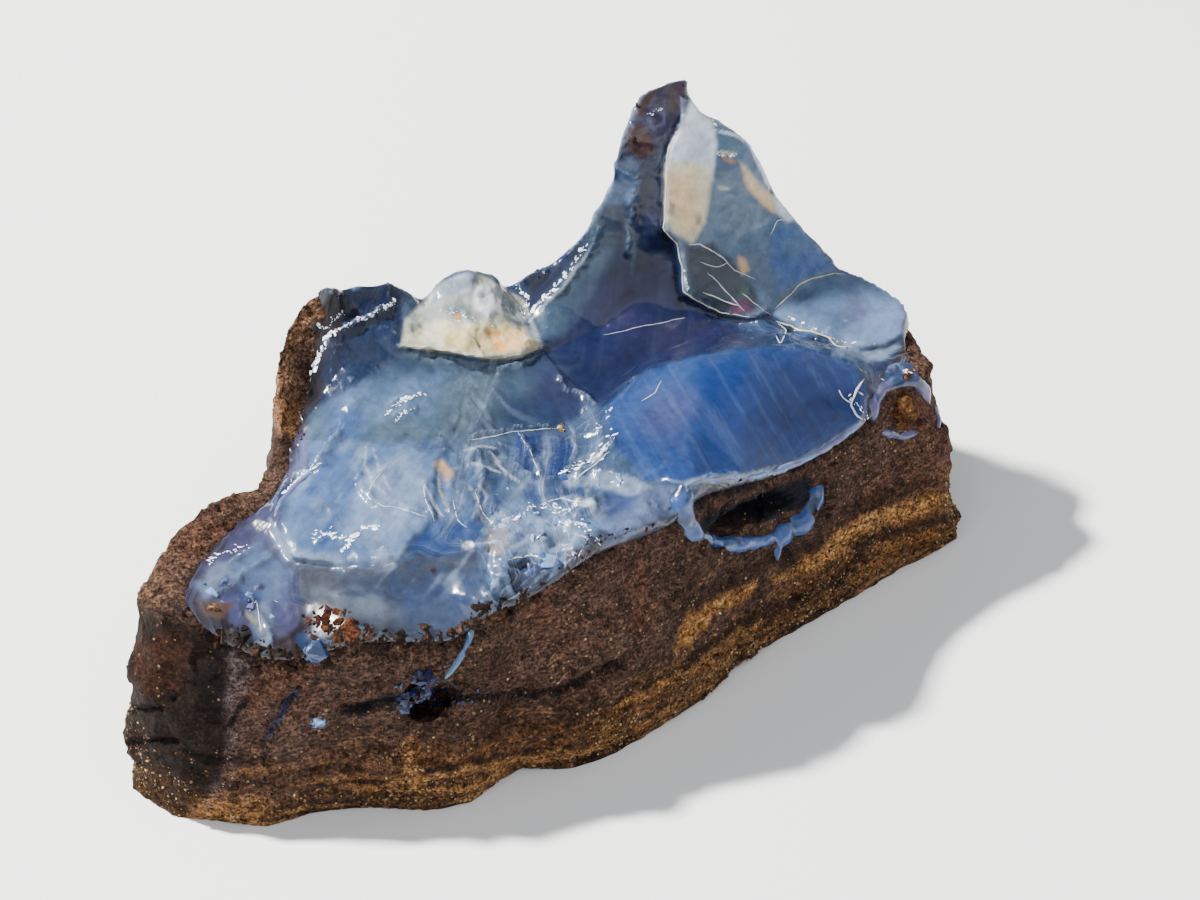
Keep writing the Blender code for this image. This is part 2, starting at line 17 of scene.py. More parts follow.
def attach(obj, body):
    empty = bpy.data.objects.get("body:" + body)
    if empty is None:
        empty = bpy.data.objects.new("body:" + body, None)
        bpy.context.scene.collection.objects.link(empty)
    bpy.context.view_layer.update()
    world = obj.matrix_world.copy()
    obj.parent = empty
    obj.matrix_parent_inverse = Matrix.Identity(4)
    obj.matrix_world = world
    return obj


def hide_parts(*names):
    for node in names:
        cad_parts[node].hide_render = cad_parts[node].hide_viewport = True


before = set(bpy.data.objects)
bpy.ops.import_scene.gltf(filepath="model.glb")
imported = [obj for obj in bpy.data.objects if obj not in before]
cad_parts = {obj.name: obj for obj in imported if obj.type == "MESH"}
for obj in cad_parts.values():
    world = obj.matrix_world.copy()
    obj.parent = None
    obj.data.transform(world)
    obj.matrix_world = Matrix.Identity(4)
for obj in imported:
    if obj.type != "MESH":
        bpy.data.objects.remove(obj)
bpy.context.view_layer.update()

# %% [markdown]
# ## The camera and the layout sheet
# The camera looks down on the long broken face from the left.  The zones of a natural stone follow
# no axis, so they are laid out on a sheet that hangs square to the camera's line through the middle
# of the stone.  The sheet has 1200 by 900 squares of 0.06 mm, counted from its top left corner.
# A point of the stone belongs to the square that it hides when it is seen from the camera's place.

# %% Camera and sheet
MM = 0.001
TURN, RISE = math.radians(-28), math.radians(38)
AIM = np.array((4.2, -2.0, 12.2)) * MM
REACH = 300 * MM
SHEET_W, SHEET_H = 1200, 900
SQUARE = 0.06 * MM
BACK = np.array((math.sin(TURN) * math.cos(RISE), -math.cos(TURN) * math.cos(RISE), math.sin(RISE)))
RIGHT = np.array((math.cos(TURN), math.sin(TURN), 0.0))
UP = np.cross(BACK, RIGHT)
EYE = AIM + BACK * REACH


def on_sheet(points):
    """Sheet squares (across, down) of an array of points."""
    gap = np.asarray(points, float) - EYE
    depth = -(gap @ BACK)
    across = SHEET_W / 2 + (gap @ RIGHT) / depth * REACH / SQUARE
    down = SHEET_H / 2 - (gap @ UP) / depth * REACH / SQUARE
    return np.stack([across, down], 1)


cam = bpy.data.objects.new("camera", bpy.data.cameras.new("camera"))
bpy.context.scene.collection.objects.link(cam)
cam.data.lens = 150
cam.data.sensor_width = 36
cam.location = EYE
cam.rotation_mode = "QUATERNION"
cam.rotation_quaternion = Vector(-BACK).to_track_quat("-Z", "Y")
cam.data.clip_start, cam.data.clip_end = 0.01, 10
bpy.context.scene.camera = cam
print("camera at", [round(c, 3) for c in cam.location])

# %% [markdown]
# ## Numbers that look broken
# Every uneven thing here, from grit to chips, comes from one repeatable noise: a whole-number lattice
# of values, blended smoothly between its points and summed over a few octaves.

# %% Repeatable noise
def lattice(ix, iy, iz, seed):
    """A repeatable value from 0 to 1 at each lattice point."""
    with np.errstate(over="ignore"):
        h = ix.astype(np.uint32) * np.uint32(374761393) + iy.astype(np.uint32) * np.uint32(668265263)
        h = h + iz.astype(np.uint32) * np.uint32(2246822519) + np.uint32(seed * 3266489917 % 2**32)
        h = (h ^ (h >> np.uint32(13))) * np.uint32(1274126177)
        h = (h ^ (h >> np.uint32(16))) * np.uint32(2654435761)
    return ((h >> np.uint32(8)) & np.uint32(0xFFFF)) / 65535.0


def smooth_noise(p, seed=0):
    """Smooth noise from 0 to 1 for an (n, 2) or (n, 3) array."""
    p = np.asarray(p, float)
    if p.shape[1] == 2:
        p = np.concatenate([p, np.zeros((len(p), 1))], 1)
    base = np.floor(p)
    f = p - base
    f = f * f * (3 - 2 * f)
    i = base.astype(np.int64) & 0xFFFF
    total = 0.0
    for dx in (0, 1):
        for dy in (0, 1):
            for dz in (0, 1):
                w = (f[:, 0] if dx else 1 - f[:, 0]) * (f[:, 1] if dy else 1 - f[:, 1])
                w = w * (f[:, 2] if dz else 1 - f[:, 2])
                total = total + w * lattice(i[:, 0] + dx, i[:, 1] + dy, i[:, 2] + dz, seed)
    return total


def clouds(p, size, seed=0, octaves=4):
    """Layered noise from about -1 to 1 whose largest lumps measure size."""
    p = np.asarray(p, float) / size
    total, weight, reach = 0.0, 1.0, 0.0
    for k in range(octaves):
        total = total + (smooth_noise(p + 17.3 * k, seed + k) * 2 - 1) * weight
        reach += weight
        p, weight = p * 2.03, weight * 0.5
    return total / reach * 1.6


def ease(low, high, x):
    """0 below low, 1 above high, smooth between."""
    t = np.clip((x - low) / (high - low), 0, 1)
    return t * t * (3 - 2 * t)


# %% [markdown]
# ## Lines and zones on the sheet
# Two measures do all the laying out: how far each point is from a line, and how deep it lies
# inside a closed outline.

# %% Distances on the sheet
def line_distance(p, line):
    """Distance to an open line, place along it from 0 to 1, and side (+ is right of travel)."""
    line = np.asarray(line, float)
    legs = np.diff(line, axis=0)
    size = np.linalg.norm(legs, axis=1)
    start = np.concatenate([[0], np.cumsum(size)])
    best = np.full(len(p), 1e9)
    along = np.zeros(len(p))
    side = np.zeros(len(p))
    for k, leg in enumerate(legs):
        rel = p - line[k]
        t = np.clip(rel @ leg / (size[k] ** 2), 0, 1)
        off = rel - t[:, None] * leg
        d = np.hypot(off[:, 0], off[:, 1])
        near = d < best
        best = np.where(near, d, best)
        along = np.where(near, (start[k] + t * size[k]) / start[-1], along)
        side = np.where(near, np.sign(leg[0] * rel[:, 1] - leg[1] * rel[:, 0]), side)
    return best, along, side


def depth_inside(p, outline):
    """Signed depth inside a closed outline, in squares: positive inside."""
    outline = np.asarray(outline, float)
    d, _, _ = line_distance(p, np.vstack([outline, outline[:1]]))
    inside = np.zeros(len(p), bool)
    for a, b in zip(outline, np.roll(outline, -1, axis=0)):
        crosses = (a[1] > p[:, 1]) != (b[1] > p[:, 1])
        rise = b[1] - a[1] if b[1] != a[1] else 1e-9
        inside ^= crosses & (p[:, 0] < (b[0] - a[0]) * (p[:, 1] - a[1]) / rise + a[0])
    return np.where(inside, d, -d)


# %% [markdown]
# ## A fine skin for each stone
# The solids are made of triangles about a millimetre wide.  A copy is merged, rebuilt on a fine even
# grid with a voxel remesh and smoothed a little, so that it can hold carving a fifth of a millimetre
# wide.  Only what shows is made finer still: the seam between the stones stays coarse.

# %% Copy and remesh
def only(obj):
    """Select one object and make it active."""
    if bpy.context.object and bpy.context.object.mode != "OBJECT":
        bpy.ops.object.mode_set(mode="OBJECT")
    bpy.ops.object.select_all(action="DESELECT")
    obj.select_set(True)
    bpy.context.view_layer.objects.active = obj


def fine_copy(node, name, grid):
    """Closed copy of a solid, merged and rebuilt on an even grid."""
    piece = bpy.data.objects.new(name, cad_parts[node].data.copy())
    bpy.context.scene.collection.objects.link(piece)
    piece.data.materials.clear()
    only(piece)
    bpy.ops.object.mode_set(mode="EDIT")
    bpy.ops.mesh.select_all(action="SELECT")
    bpy.ops.mesh.remove_doubles(threshold=0.000002)
    bpy.ops.mesh.normals_make_consistent(inside=False)
    bpy.ops.object.mode_set(mode="OBJECT")
    piece.data.remesh_voxel_size = grid
    piece.data.use_remesh_preserve_volume = True
    bpy.ops.object.voxel_remesh()
    return piece


def read_points(piece):
    co = np.zeros(len(piece.data.vertices) * 3)
    piece.data.vertices.foreach_get("co", co)
    return co.reshape(-1, 3)


def read_normals(piece):
    no = np.zeros(len(piece.data.vertices) * 3)
    piece.data.vertex_normals.foreach_get("vector", no)
    return no.reshape(-1, 3)


def write_points(piece, co):
    piece.data.vertices.foreach_set("co", np.ascontiguousarray(co, dtype=np.float32).ravel())
    piece.data.update()


def relax(piece, rounds, factor=0.5):
    only(piece)
    bpy.ops.object.mode_set(mode="EDIT")
    bpy.ops.mesh.select_all(action="SELECT")
    bpy.ops.mesh.vertices_smooth(factor=factor, repeat=rounds)
    bpy.ops.object.mode_set(mode="OBJECT")


def search_tree(obj):
    """Nearest-point search of a mesh."""
    bm = bmesh.new()
    bm.from_mesh(obj.data)
    tree = BVHTree.FromBMesh(bm)
    bm.free()
    return tree


def gap_to(tree, co, reach=1.2 * MM):
    """Distance from each point to another stone, up to a reach, and the nearest place on it."""
    gap = np.full(len(co), reach)
    place = co.copy()
    for i, c in enumerate(co):
        hit, _, _, d = tree.find_nearest(Vector(c), reach)
        if hit is not None:
            gap[i] = d
            place[i] = hit
    return gap, place


def refine_where(piece, wanted):
    """Split once every face whose corners are all wanted."""
    bm = bmesh.new()
    bm.from_mesh(piece.data)
    bm.verts.ensure_lookup_table()
    faces = [f for f in bm.faces if all(wanted[v.index] for v in f.verts)]
    edges = list({e for f in faces for e in f.edges})
    bmesh.ops.subdivide_edges(bm, edges=edges, cuts=1, use_grid_fill=True)
    bmesh.ops.triangulate(bm, faces=[f for f in bm.faces if len(f.verts) > 4])
    bm.to_mesh(piece.data)
    bm.free()
    piece.data.update()


def in_sight(points, normals, cover, reach=60 * MM):
    """True where a point is turned to the camera and is not buried deep under the covering solid."""
    seen = normals @ BACK > -0.1
    for i in np.nonzero(seen)[0]:
        hit, _, _, far = cover.ray_cast(Vector(points[i] + BACK * 0.1 * MM), Vector(BACK), reach)
        seen[i] = hit is None or far < 1.0 * MM
    return seen


def triangles(piece):
    piece.data.calc_loop_triangles()
    return len(piece.data.loop_triangles)


OPAL_GRID = 0.30 * MM
STONE_GRID = 0.39 * MM
opal = fine_copy("opal", "opal_mass", OPAL_GRID)
stone = fine_copy("ironstone_matrix", "ironstone_block", STONE_GRID)
stone_tree = search_tree(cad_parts["ironstone_matrix"])
relax(opal, 2)
gap, _ = gap_to(stone_tree, read_points(opal))
refine_where(opal, (gap > 0.5 * MM) & (read_normals(opal) @ BACK > -0.35))
relax(opal, 1)
refine_where(stone, in_sight(read_points(stone), read_normals(stone), search_tree(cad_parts["opal"])))
print("opal skin", triangles(opal), "triangles; ironstone skin", triangles(stone), "triangles")

# %% [markdown]
# ## Chips, ribs and facets
# Opal breaks in shallow bowls.  Two cell patterns give that: a bowl round each scattered centre,
# rising to a crisp ridge where it meets the next, and flat facets that each lean their own way.
# Ribs and ledges that are worth a name follow lines on the layout sheet.

# %% Cell patterns
def cells(p, size, seed):
    """For each point: offset from its nearest scattered centre, that centre's number, and the rim gap."""
    p = np.asarray(p, float) / size
    base = np.floor(p).astype(np.int64)
    best = np.full(len(p), 9.0)
    second = np.full(len(p), 9.0)
    offset = np.zeros((len(p), 3))
    number = np.zeros(len(p))
    for dx in (-1, 0, 1):
        for dy in (-1, 0, 1):
            for dz in (-1, 0, 1):
                ix, iy, iz = ((base + (dx, dy, dz)) & 0xFFFF).T
                jitter = np.stack([lattice(ix, iy, iz, seed + k) for k in (11, 12, 13)], 1)
                rel = p - (base + (dx, dy, dz) + jitter)
                d = np.linalg.norm(rel, axis=1)
                near = d < best
                second = np.where(near, best, np.minimum(second, d))
                best = np.where(near, d, best)
                offset = np.where(near[:, None], rel, offset)
                number = np.where(near, lattice(ix, iy, iz, seed + 14), number)
    return offset, number, second - best


def bowls(p, size, seed):
    """0 in the middle of each bowl, about 1 at the ridge between two."""
    offset, _, _ = cells(p, size, seed)
    return np.minimum((offset ** 2).sum(1) * 1.6, 1.2)


def facets(p, size, seed):
    """Flat facets that lean each its own way, about -1 to 1, with a step between them."""
    offset, number, _ = cells(p, size, seed)
    turn = number * 2 * math.pi * 7
    lean = np.stack([np.cos(turn), np.sin(turn), np.cos(turn * 1.7 + 1)], 1)
    return (offset * lean).sum(1) * 1.2 + (number - 0.5) * 0.7



# %% [markdown]
# A zone is a soft mask of a closed outline and a stroke is a soft mask of a line.  Streaks and fans
# are noise drawn out one way.  A ragged edge keeps them from looking drawn.

# %% Zones, strokes and streaks
def zone(sheet, outline, soft=10, ragged=0, seed=3):
    """Soft mask of a closed outline; a ragged edge wanders by that many squares."""
    if ragged:
        sheet = sheet + ragged * np.stack([clouds(sheet, 26, seed), clouds(sheet, 26, seed + 9)], 1)
    return ease(-soft, soft, depth_inside(sheet, outline))


def stroke(sheet, line, width, soft=None, ragged=0, seed=5):
    """Soft mask of a line that thins out at both ends."""
    if ragged:
        sheet = sheet + ragged * np.stack([clouds(sheet, 18, seed), clouds(sheet, 18, seed + 9)], 1)
    d, along, _ = line_distance(sheet, line)
    reach = width * (0.35 + 0.65 * ease(0, 0.2, along) * ease(0, 0.2, 1 - along))
    soft = soft or max(width * 0.5, 2.0)
    return 1 - ease(reach / 2 - soft / 2, reach / 2 + soft / 2, d)


def streaks(sheet, angle, length, width, seed):
    """Noise from -1 to 1 drawn out along an angle (degrees below the sheet's right)."""
    a = math.radians(angle)
    along = sheet @ np.array((math.cos(a), math.sin(a)))
    across = sheet @ np.array((-math.sin(a), math.cos(a)))
    return clouds(np.stack([along / length, across / width], 1), 1.0, seed, 3)


def fan(sheet, centre, spokes, length, seed):
    """Noise from -1 to 1 drawn out along rays from a centre."""
    rel = sheet - np.asarray(centre, float)
    ray = np.arctan2(rel[:, 1], rel[:, 0]) * spokes / math.pi
    return clouds(np.stack([ray, np.hypot(rel[:, 0], rel[:, 1]) / length], 1), 1.0, seed, 3)



# %% [markdown]
# Ridges are painted paler, partly for the milky edges of broken opal and partly as painted highlight, and
# creases are painted darker as painted shade, so the bend of the surface is measured too: how far each
# vertex stands above or below the mean of its neighbours.

# %% Bends
def neighbour_mean(piece, values, rounds=1):
    """Mean of each vertex's neighbours, repeated."""
    ends = np.zeros(len(piece.data.edges) * 2, int)
    piece.data.edges.foreach_get("vertices", ends)
    ends = ends.reshape(-1, 2)
    count = np.bincount(ends.ravel(), minlength=len(values)).astype(float)
    shape = (-1,) + (1,) * (values.ndim - 1)
    for _ in range(rounds):
        total = np.zeros_like(values)
        np.add.at(total, ends[:, 0], values[ends[:, 1]])
        np.add.at(total, ends[:, 1], values[ends[:, 0]])
        values = total / count.reshape(shape)
    return values


def bend_of(piece, co, no, sharp=4.0):
    """How sharply the surface bends: + on a ridge, - in a crease; 1 is a ridge sharp to 1 / sharp mm."""
    offset = ((co - neighbour_mean(piece, co)) * no).sum(1)
    offset = neighbour_mean(piece, offset)
    spacing = edge_length(piece, co)
    return np.clip(offset * 4 / spacing ** 2 * MM / sharp, -3, 3)


def edge_length(piece, co):
    """Mean length of the edges that meet at each vertex."""
    ends = np.zeros(len(piece.data.edges) * 2, int)
    piece.data.edges.foreach_get("vertices", ends)
    ends = ends.reshape(-1, 2)
    size = np.linalg.norm(co[ends[:, 0]] - co[ends[:, 1]], axis=1)
    total = np.bincount(ends[:, 0], size, len(co)) + np.bincount(ends[:, 1], size, len(co))
    return total / np.bincount(ends.ravel(), minlength=len(co))


# %% [markdown]
# ## Outlines on the sheet
# The parts of the opal that a collector would point out, each as a closed outline.

# %% Outlines
LENS = ((645, 480), (611, 440), (604, 408), (633, 380), (670, 364), (710, 355), (755, 349), (802, 348),
        (832, 355), (857, 367), (868, 395), (862, 425), (825, 445), (790, 465), (745, 477), (690, 484))
WALL = ((560, 262), (590, 227), (610, 190), (640, 160), (664, 176), (664, 229), (683, 293), (718, 312),
        (790, 345), (755, 349), (710, 355), (670, 364), (633, 380), (600, 404), (560, 374), (530, 330),
        (515, 290))
FLAKE = ((691, 98), (681, 99), (682, 124), (669, 149), (666, 176), (664, 229), (677, 243), (683, 270),
         (683, 293),
         (700, 303), (718, 312), (749, 318), (772, 313), (800, 282), (835, 268), (800, 225), (772, 190),
         (751, 144),
         (722, 122), (700, 112))
LOW_FLAKE = ((772, 315), (803, 331), (828, 336), (836, 345), (859, 349), (885, 345), (906, 331), (908, 300),
             (879, 283), (835, 268), (800, 282))
MOUND = ((401, 346), (419, 347), (449, 351), (470, 357), (490, 358), (519, 355), (543, 347), (525, 300),
         (505, 288), (490, 278), (467, 272), (440, 283), (425, 302), (405, 320))
LUMP = ((345, 286), (390, 280), (405, 292), (408, 320), (401, 346), (375, 372), (345, 395), (312, 405),
        (308, 375),
        (325, 330), (333, 291))
BASIN = ((312, 405), (345, 395), (401, 350), (470, 360), (500, 372), (470, 430), (400, 445), (330, 445),
         (296, 440))
PLATE = ((296, 440), (400, 445), (440, 450), (430, 520), (400, 560), (335, 565), (290, 560), (272, 530),
         (286, 500),
         (310, 470))
GREY_FACET = ((600, 404), (560, 374), (543, 352), (500, 368), (470, 430), (499, 436), (540, 436),
              (575, 425))
CENTRE = ((440, 450), (499, 436), (540, 436), (600, 404), (615, 445), (650, 480), (691, 484), (678, 516),
          (620, 530),
          (540, 510), (430, 530))
BLOCK = ((490, 510), (560, 500), (610, 525), (591, 545), (560, 571), (520, 600), (486, 604), (478, 560))
DOME = ((290, 565), (335, 568), (400, 560), (478, 555), (484, 604), (470, 631), (430, 640), (361, 628),
        (320, 615),
        (296, 590))
BENCH = ((213, 545), (243, 522), (274, 499), (290, 560), (300, 600), (330, 625), (310, 653), (270, 655),
         (225, 640),
         (183, 603), (190, 585))
SPIRE = ((691, 75), (665, 79), (637, 92), (631, 121), (617, 148), (622, 160), (660, 152), (683, 124),
         (692, 98))
CRUST_STRIP = ((345, 288), (320, 284), (290, 309), (272, 370), (280, 438), (296, 440), (309, 415),
               (311, 370),
               (325, 330))
SMOOTH_END = ((600, 500), (640, 490), (690, 486), (684, 512), (640, 532), (606, 545), (598, 524))
LOW_CORNER = ((292, 596), (352, 600), (364, 640), (330, 652), (292, 652))
BLUE_FACET = ((518, 437), (567, 433), (578, 453), (563, 477), (533, 482), (516, 466))
CLEAR_FOOT = ((686, 246), (712, 242), (735, 262), (752, 292), (760, 306), (745, 313), (718, 311),
              (694, 297))

# %% [markdown]
# ## Carving the opal
# Each part gets its own amount of chipping: the lens and the plates broke clean and stay smooth, the
# middle and the block beside it are crushed, and the crests are splintered.

# %% Carve the opal
co = read_points(opal)
no = read_normals(opal)
sheet = on_sheet(co)
gap, _ = gap_to(stone_tree, co)
free = ease(0.45 * MM, 1.1 * MM, gap)
facing = ease(-0.15, 0.25, no @ BACK)
CHIPPING = (
    # how much chipping, softness, outline
    (0.08, 8, LENS), (0.18, 14, WALL), (0.25, 8, FLAKE), (0.25, 8, LOW_FLAKE), (0.9, 8, MOUND),
    (0.7, 8, LUMP),
    (0.45, 14, BASIN), (0.4, 14, PLATE), (0.15, 8, GREY_FACET), (0.9, 12, CENTRE), (1.2, 10, BLOCK),
    (0.25, 10, DOME), (0.65, 10, BENCH), (0.6, 8, SPIRE),
    (0.15, 8, LOW_CORNER))
chipping = np.full(len(co), 0.7)
for amount, soft, outline in CHIPPING:
    mask = zone(sheet, outline, soft) * facing
    chipping = chipping * (1 - mask) + amount * mask
warp = co + 0.9 * MM * np.stack([clouds(co, 3.5 * MM, s) for s in (21, 22, 23)], 1)
height = 0.46 * MM * (bowls(warp, 4.2 * MM, 31) - 0.45)
height += 0.24 * MM * (bowls(warp, 1.7 * MM, 37) - 0.45)
height += 0.10 * MM * (bowls(co, 0.8 * MM, 39) - 0.45) * ease(0.5, 1.1, chipping)
height += 0.08 * MM * facets(co, 0.9 * MM, 43) * ease(0.7, 1.1, chipping)
height *= chipping

# %% [markdown]
# The sharpest things are laid one by one: ribs and grooves along lines, a small step round each
# flake and facet, and fine scratches across the lens.

# %% Ribs, steps and scratches
RIBS = (
    # height in mm, width in squares, line
    (0.55, 14, ((308, 375), (315, 355), (330, 332), (345, 325), (365, 318), (385, 306), (397, 301))),
    (0.50, 9, ((270, 522), (285, 490), (300, 478), (322, 462), (338, 436), (345, 410))),
    (0.22, 6, ((385, 412), (394, 402), (408, 397), (426, 394))),
    (0.22, 6, ((392, 420), (402, 411), (418, 407))),
    (0.25, 7, ((365, 500), (383, 506), (400, 508), (430, 518), (456, 520))),
    (0.25, 6, ((366, 502), (372, 484), (386, 470), (400, 464))),
    (0.25, 6, ((356, 470), (362, 490), (376, 505))),
    (0.30, 7, ((515, 430), (530, 450), (541, 480), (548, 500))),
    (0.30, 5, ((465, 440), (490, 434), (515, 430), (560, 428))),
    (0.34, 9, ((563, 480), (585, 470), (607, 474), (633, 484), (653, 489))),
    (0.30, 6, ((518, 437), (516, 466), (533, 482), (563, 477), (578, 453), (567, 433))),
    (0.30, 7, ((540, 505), (560, 498), (590, 503), (600, 515))),
    (0.32, 6, ((572, 482), (590, 468), (611, 450), (616, 436))),
    (0.35, 8, ((690, 480), (740, 478), (770, 476), (800, 464), (840, 446), (862, 424))),
    (0.25, 8, ((530, 320), (560, 290), (590, 250), (606, 215))),
    (0.18, 5, ((608, 155), (622, 172), (642, 176))),
    (0.25, 6, ((640, 160), (632, 200), (628, 260))),
    (0.28, 6, ((500, 560), (520, 575), (550, 570), (566, 552))),
    (0.30, 6, ((505, 560), (530, 556), (555, 562), (552, 592), (512, 595), (505, 560))),
    (0.25, 6, ((310, 548), (326, 538), (344, 540), (362, 532))),
    (0.30, 8, ((245, 590), (262, 620), (272, 650))),
    (0.30, 8, ((205, 598), (230, 585), (262, 560), (285, 540))),
    (0.25, 6, ((222, 572), (240, 556), (262, 548))),
    (0.25, 6, ((474, 446), (482, 470), (478, 505), (470, 530))),
    (0.22, 5, ((452, 470), (448, 500), (456, 530))),
    (0.22, 5, ((424, 478), (426, 505), (436, 525))),
    (0.30, 7, ((556, 372), (566, 392), (600, 404))),
    (0.30, 15, ((403, 356), (449, 362), (490, 370), (543, 357))),
    (-0.20, 8, ((283, 538), (294, 560), (335, 568), (400, 562))),
    (-0.25, 7, ((500, 500), (490, 530), (486, 580))),
    (-0.15, 6, ((468, 385), (480, 410), (500, 432))),
    (-0.15, 6, ((462, 392), (462, 415), (455, 436))),
)
for tall, wide, line in RIBS:
    d, along, _ = line_distance(sheet + 2.5 * np.stack([clouds(sheet, 12, 53), clouds(sheet, 12, 55)], 1),
                                line)
    ends = ease(0, 0.15, along) * ease(0, 0.15, 1 - along)
    height += tall * MM * ends * facing * np.clip(1 - d / wide, 0,
                                                  1) ** 1.5 * (0.75 + 0.5 * clouds(sheet, 10, 51))
feathers = zone(sheet, ((440, 375), (505, 372), (540, 430), (545, 520), (430, 530), (380, 510), (420, 440)),
                20)
rays = fan(sheet + 8 * np.stack([clouds(sheet, 40, 65), clouds(sheet, 40, 66)], 1), (466, 376), 22, 60, 61)
height += 0.03 * MM * feathers * facing * rays
STEPS = (
    # how far the outline's inside stands proud in mm, softness in squares, outline
    (0.12, 3, FLAKE), (0.10, 3, LOW_FLAKE), (0.05, 4, MOUND), (0.12, 4, LENS), (0.15, 3, PLATE),
    (0.15, 2, GREY_FACET),
)
for tall, soft, outline in STEPS:
    height += tall * MM * zone(sheet, outline, soft, 2) * facing
scratches = zone(sheet, LENS, 6) * facing
height += 0.02 * MM * scratches * streaks(sheet, 50, 60, 6, 63)
co = co + no * (height * free)[:, None]
write_points(opal, co)
no = read_normals(opal)
bend = bend_of(opal, co, no) * free
print("opal carved by", round(float(np.abs(height * free).max() / MM), 2), "mm at most; bend",
      np.round(bend.std(), 2))

# %% [markdown]
# ## Carving the ironstone
# Ironstone is a hard grit in beds.  It gets rounded lumps, broken scabs, a sandy surface, and, low on
# its sides, thin beds that weathered back by different amounts.

# %% Carve the ironstone
sc = read_points(stone)
sn = read_normals(stone)
opal_tree = search_tree(opal)
seam_gap, seam_place = gap_to(opal_tree, sc)
loose = ease(0.4 * MM, 1.0 * MM, seam_gap) * ease(0.05 * MM, 0.5 * MM, sc[:, 2])
beds = sc[:, 2] + 0.8 * MM * clouds(sc, 9 * MM, 71, 2)
bed_wave = smooth_noise(np.stack([sc[:, 0] / (9 * MM), sc[:, 1] / (9 * MM), beds / (0.55 * MM)], 1), 73)
low = 1 - ease(3.5 * MM, 7 * MM, beds)
lift = 0.22 * MM * clouds(sc, 3.2 * MM, 75)
lift += 0.16 * MM * facets(sc, 2.2 * MM, 77)
lift += 0.12 * MM * clouds(sc, 0.9 * MM, 79, 3) * (0.6 + 0.4 * low)
lift += 0.28 * MM * (bed_wave - 0.5) * low
lift += 0.10 * MM * (bowls(sc, 0.8 * MM, 80) - 0.45)
stone_sheet = on_sheet(sc)
stone_front = ease(-0.1, 0.3, sn @ BACK)

# %% [markdown]
# Cracks and hollows are carved one by one: the gap under the lens's lip, the crystal cavity and
# the thin cracks that cross the front.

# %% Hollows and cracks
HOLLOWS = (
    # depth in mm, softness, outline
    (0.9, 3, ((688, 484), (712, 480), (748, 478), (770, 476), (769, 481), (744, 484), (712, 487),
              (702, 492),
              (700, 506), (688, 506))),
    (1.0, 4, ((404, 690), (417, 682), (430, 689), (449, 684), (462, 694), (446, 704), (448, 716),
              (426, 711),
              (408, 718), (413, 703))),
    (0.5, 3, ((340, 708), (372, 702), (405, 692), (405, 697), (372, 709), (342, 715))),
    (0.5, 3, ((124, 707), (162, 710), (162, 714), (124, 712))),
    (0.5, 3, ((130, 741), (178, 741), (178, 745), (130, 746))),
    (0.5, 3, ((466, 697), (500, 693), (560, 687), (620, 661), (622, 666), (562, 693), (502, 699))),
    (0.4, 3, ((226, 727), (234, 712), (245, 699), (249, 701), (239, 714), (231, 729))),
    (0.4, 3, ((262, 762), (266, 738), (279, 714), (298, 684), (303, 687), (284, 716), (271, 740),
              (266, 763))),
    (0.4, 3, ((780, 545), (787, 560), (798, 576), (802, 574), (792, 559), (785, 543))),
    (0.3, 3, ((300, 768), (330, 762), (360, 766), (360, 771), (330, 767), (300, 773))),
    (0.3, 3, ((163, 600), (186, 610), (202, 618), (200, 623), (184, 615), (163, 605))),
)
for deep, soft, outline in HOLLOWS:
    lift -= deep * MM * zone(stone_sheet, outline, soft, 2) * stone_front
face_y = -11.3 * MM + 0.32 * (sc[:, 0] - 10 * MM)
slit_depth = np.maximum(sc[:, 1] - face_y, 0) * (sc[:, 1] < -4 * MM)
sc = sc + sn * (lift * loose)[:, None]
meets = (seam_gap < 0.5 * MM) & (sc[:, 2] > 0.5 * MM)
sc[meets] = seam_place[meets]
sc[:, 2] = np.maximum(sc[:, 2], 0)
write_points(stone, sc)
sn = read_normals(stone)
print("ironstone carved by", round(float(np.abs(lift).max() / MM), 2), "mm at most;", int(meets.sum()),
      "seam points")

# %% [markdown]
# ## Tints
# A stone's colour sits in it in clouds and bands.  Each is laid as a soft zone or a stroke on the
# sheet, and what faces away from the sheet gets the same colours in drifting clouds.

# %% Palette and brush
STUDIO = 2.4


def tint(red, green, blue):
    """Linear colour of a stone that looks like this 0-255 mix once the studio lights it."""
    mix = np.array((red, green, blue)) / 255
    light = np.where(mix <= 0.04045, mix / 12.92, ((mix + 0.055) / 1.055) ** 2.4)
    grey = light.mean()
    rich = np.maximum(grey + (light - grey) * 1.15, 0.001)
    return rich * max(1.0, 0.6 + 2 * grey) / STUDIO


PALETTE = {
    "navy": tint(36, 46, 86), "slate": tint(58, 76, 112), "royal": tint(46, 74, 146),
    "sea": tint(82, 112, 176),
    "sky": tint(126, 155, 200), "milk": tint(164, 184, 214), "frost": tint(216, 224, 236),
    "mist": tint(108, 134, 160),
    "moss": tint(126, 142, 146), "cream": tint(206, 200, 170), "peach": tint(226, 186, 136),
    "amber": tint(222, 150, 60), "maroon": tint(78, 44, 54), "umber": tint(62, 45, 38),
    "lilac": tint(126, 122, 166),
    "ink": tint(16, 17, 26), "teal": tint(108, 126, 150), "ash": tint(116, 122, 136),
    "cocoa": tint(80, 61, 53), "bark": tint(46, 30, 21), "rust": tint(98, 58, 40),
    "tan": tint(136, 104, 82),
    "gold": tint(168, 126, 86), "ochre": tint(120, 84, 52), "sand": tint(206, 180, 140),
    "rose": tint(160, 92, 138), "jade": tint(84, 128, 112), "plum": tint(70, 66, 104),
    "honey": tint(212, 186, 116), "indigo": tint(44, 52, 102),
    "amberband": tint(158, 116, 76),
}


def lay(paint, name, mask):
    """Lay one palette colour over the paint where the mask says."""
    mask = np.clip(mask, 0, 1)[:, None]
    return paint * (1 - mask) + PALETTE[name] * mask


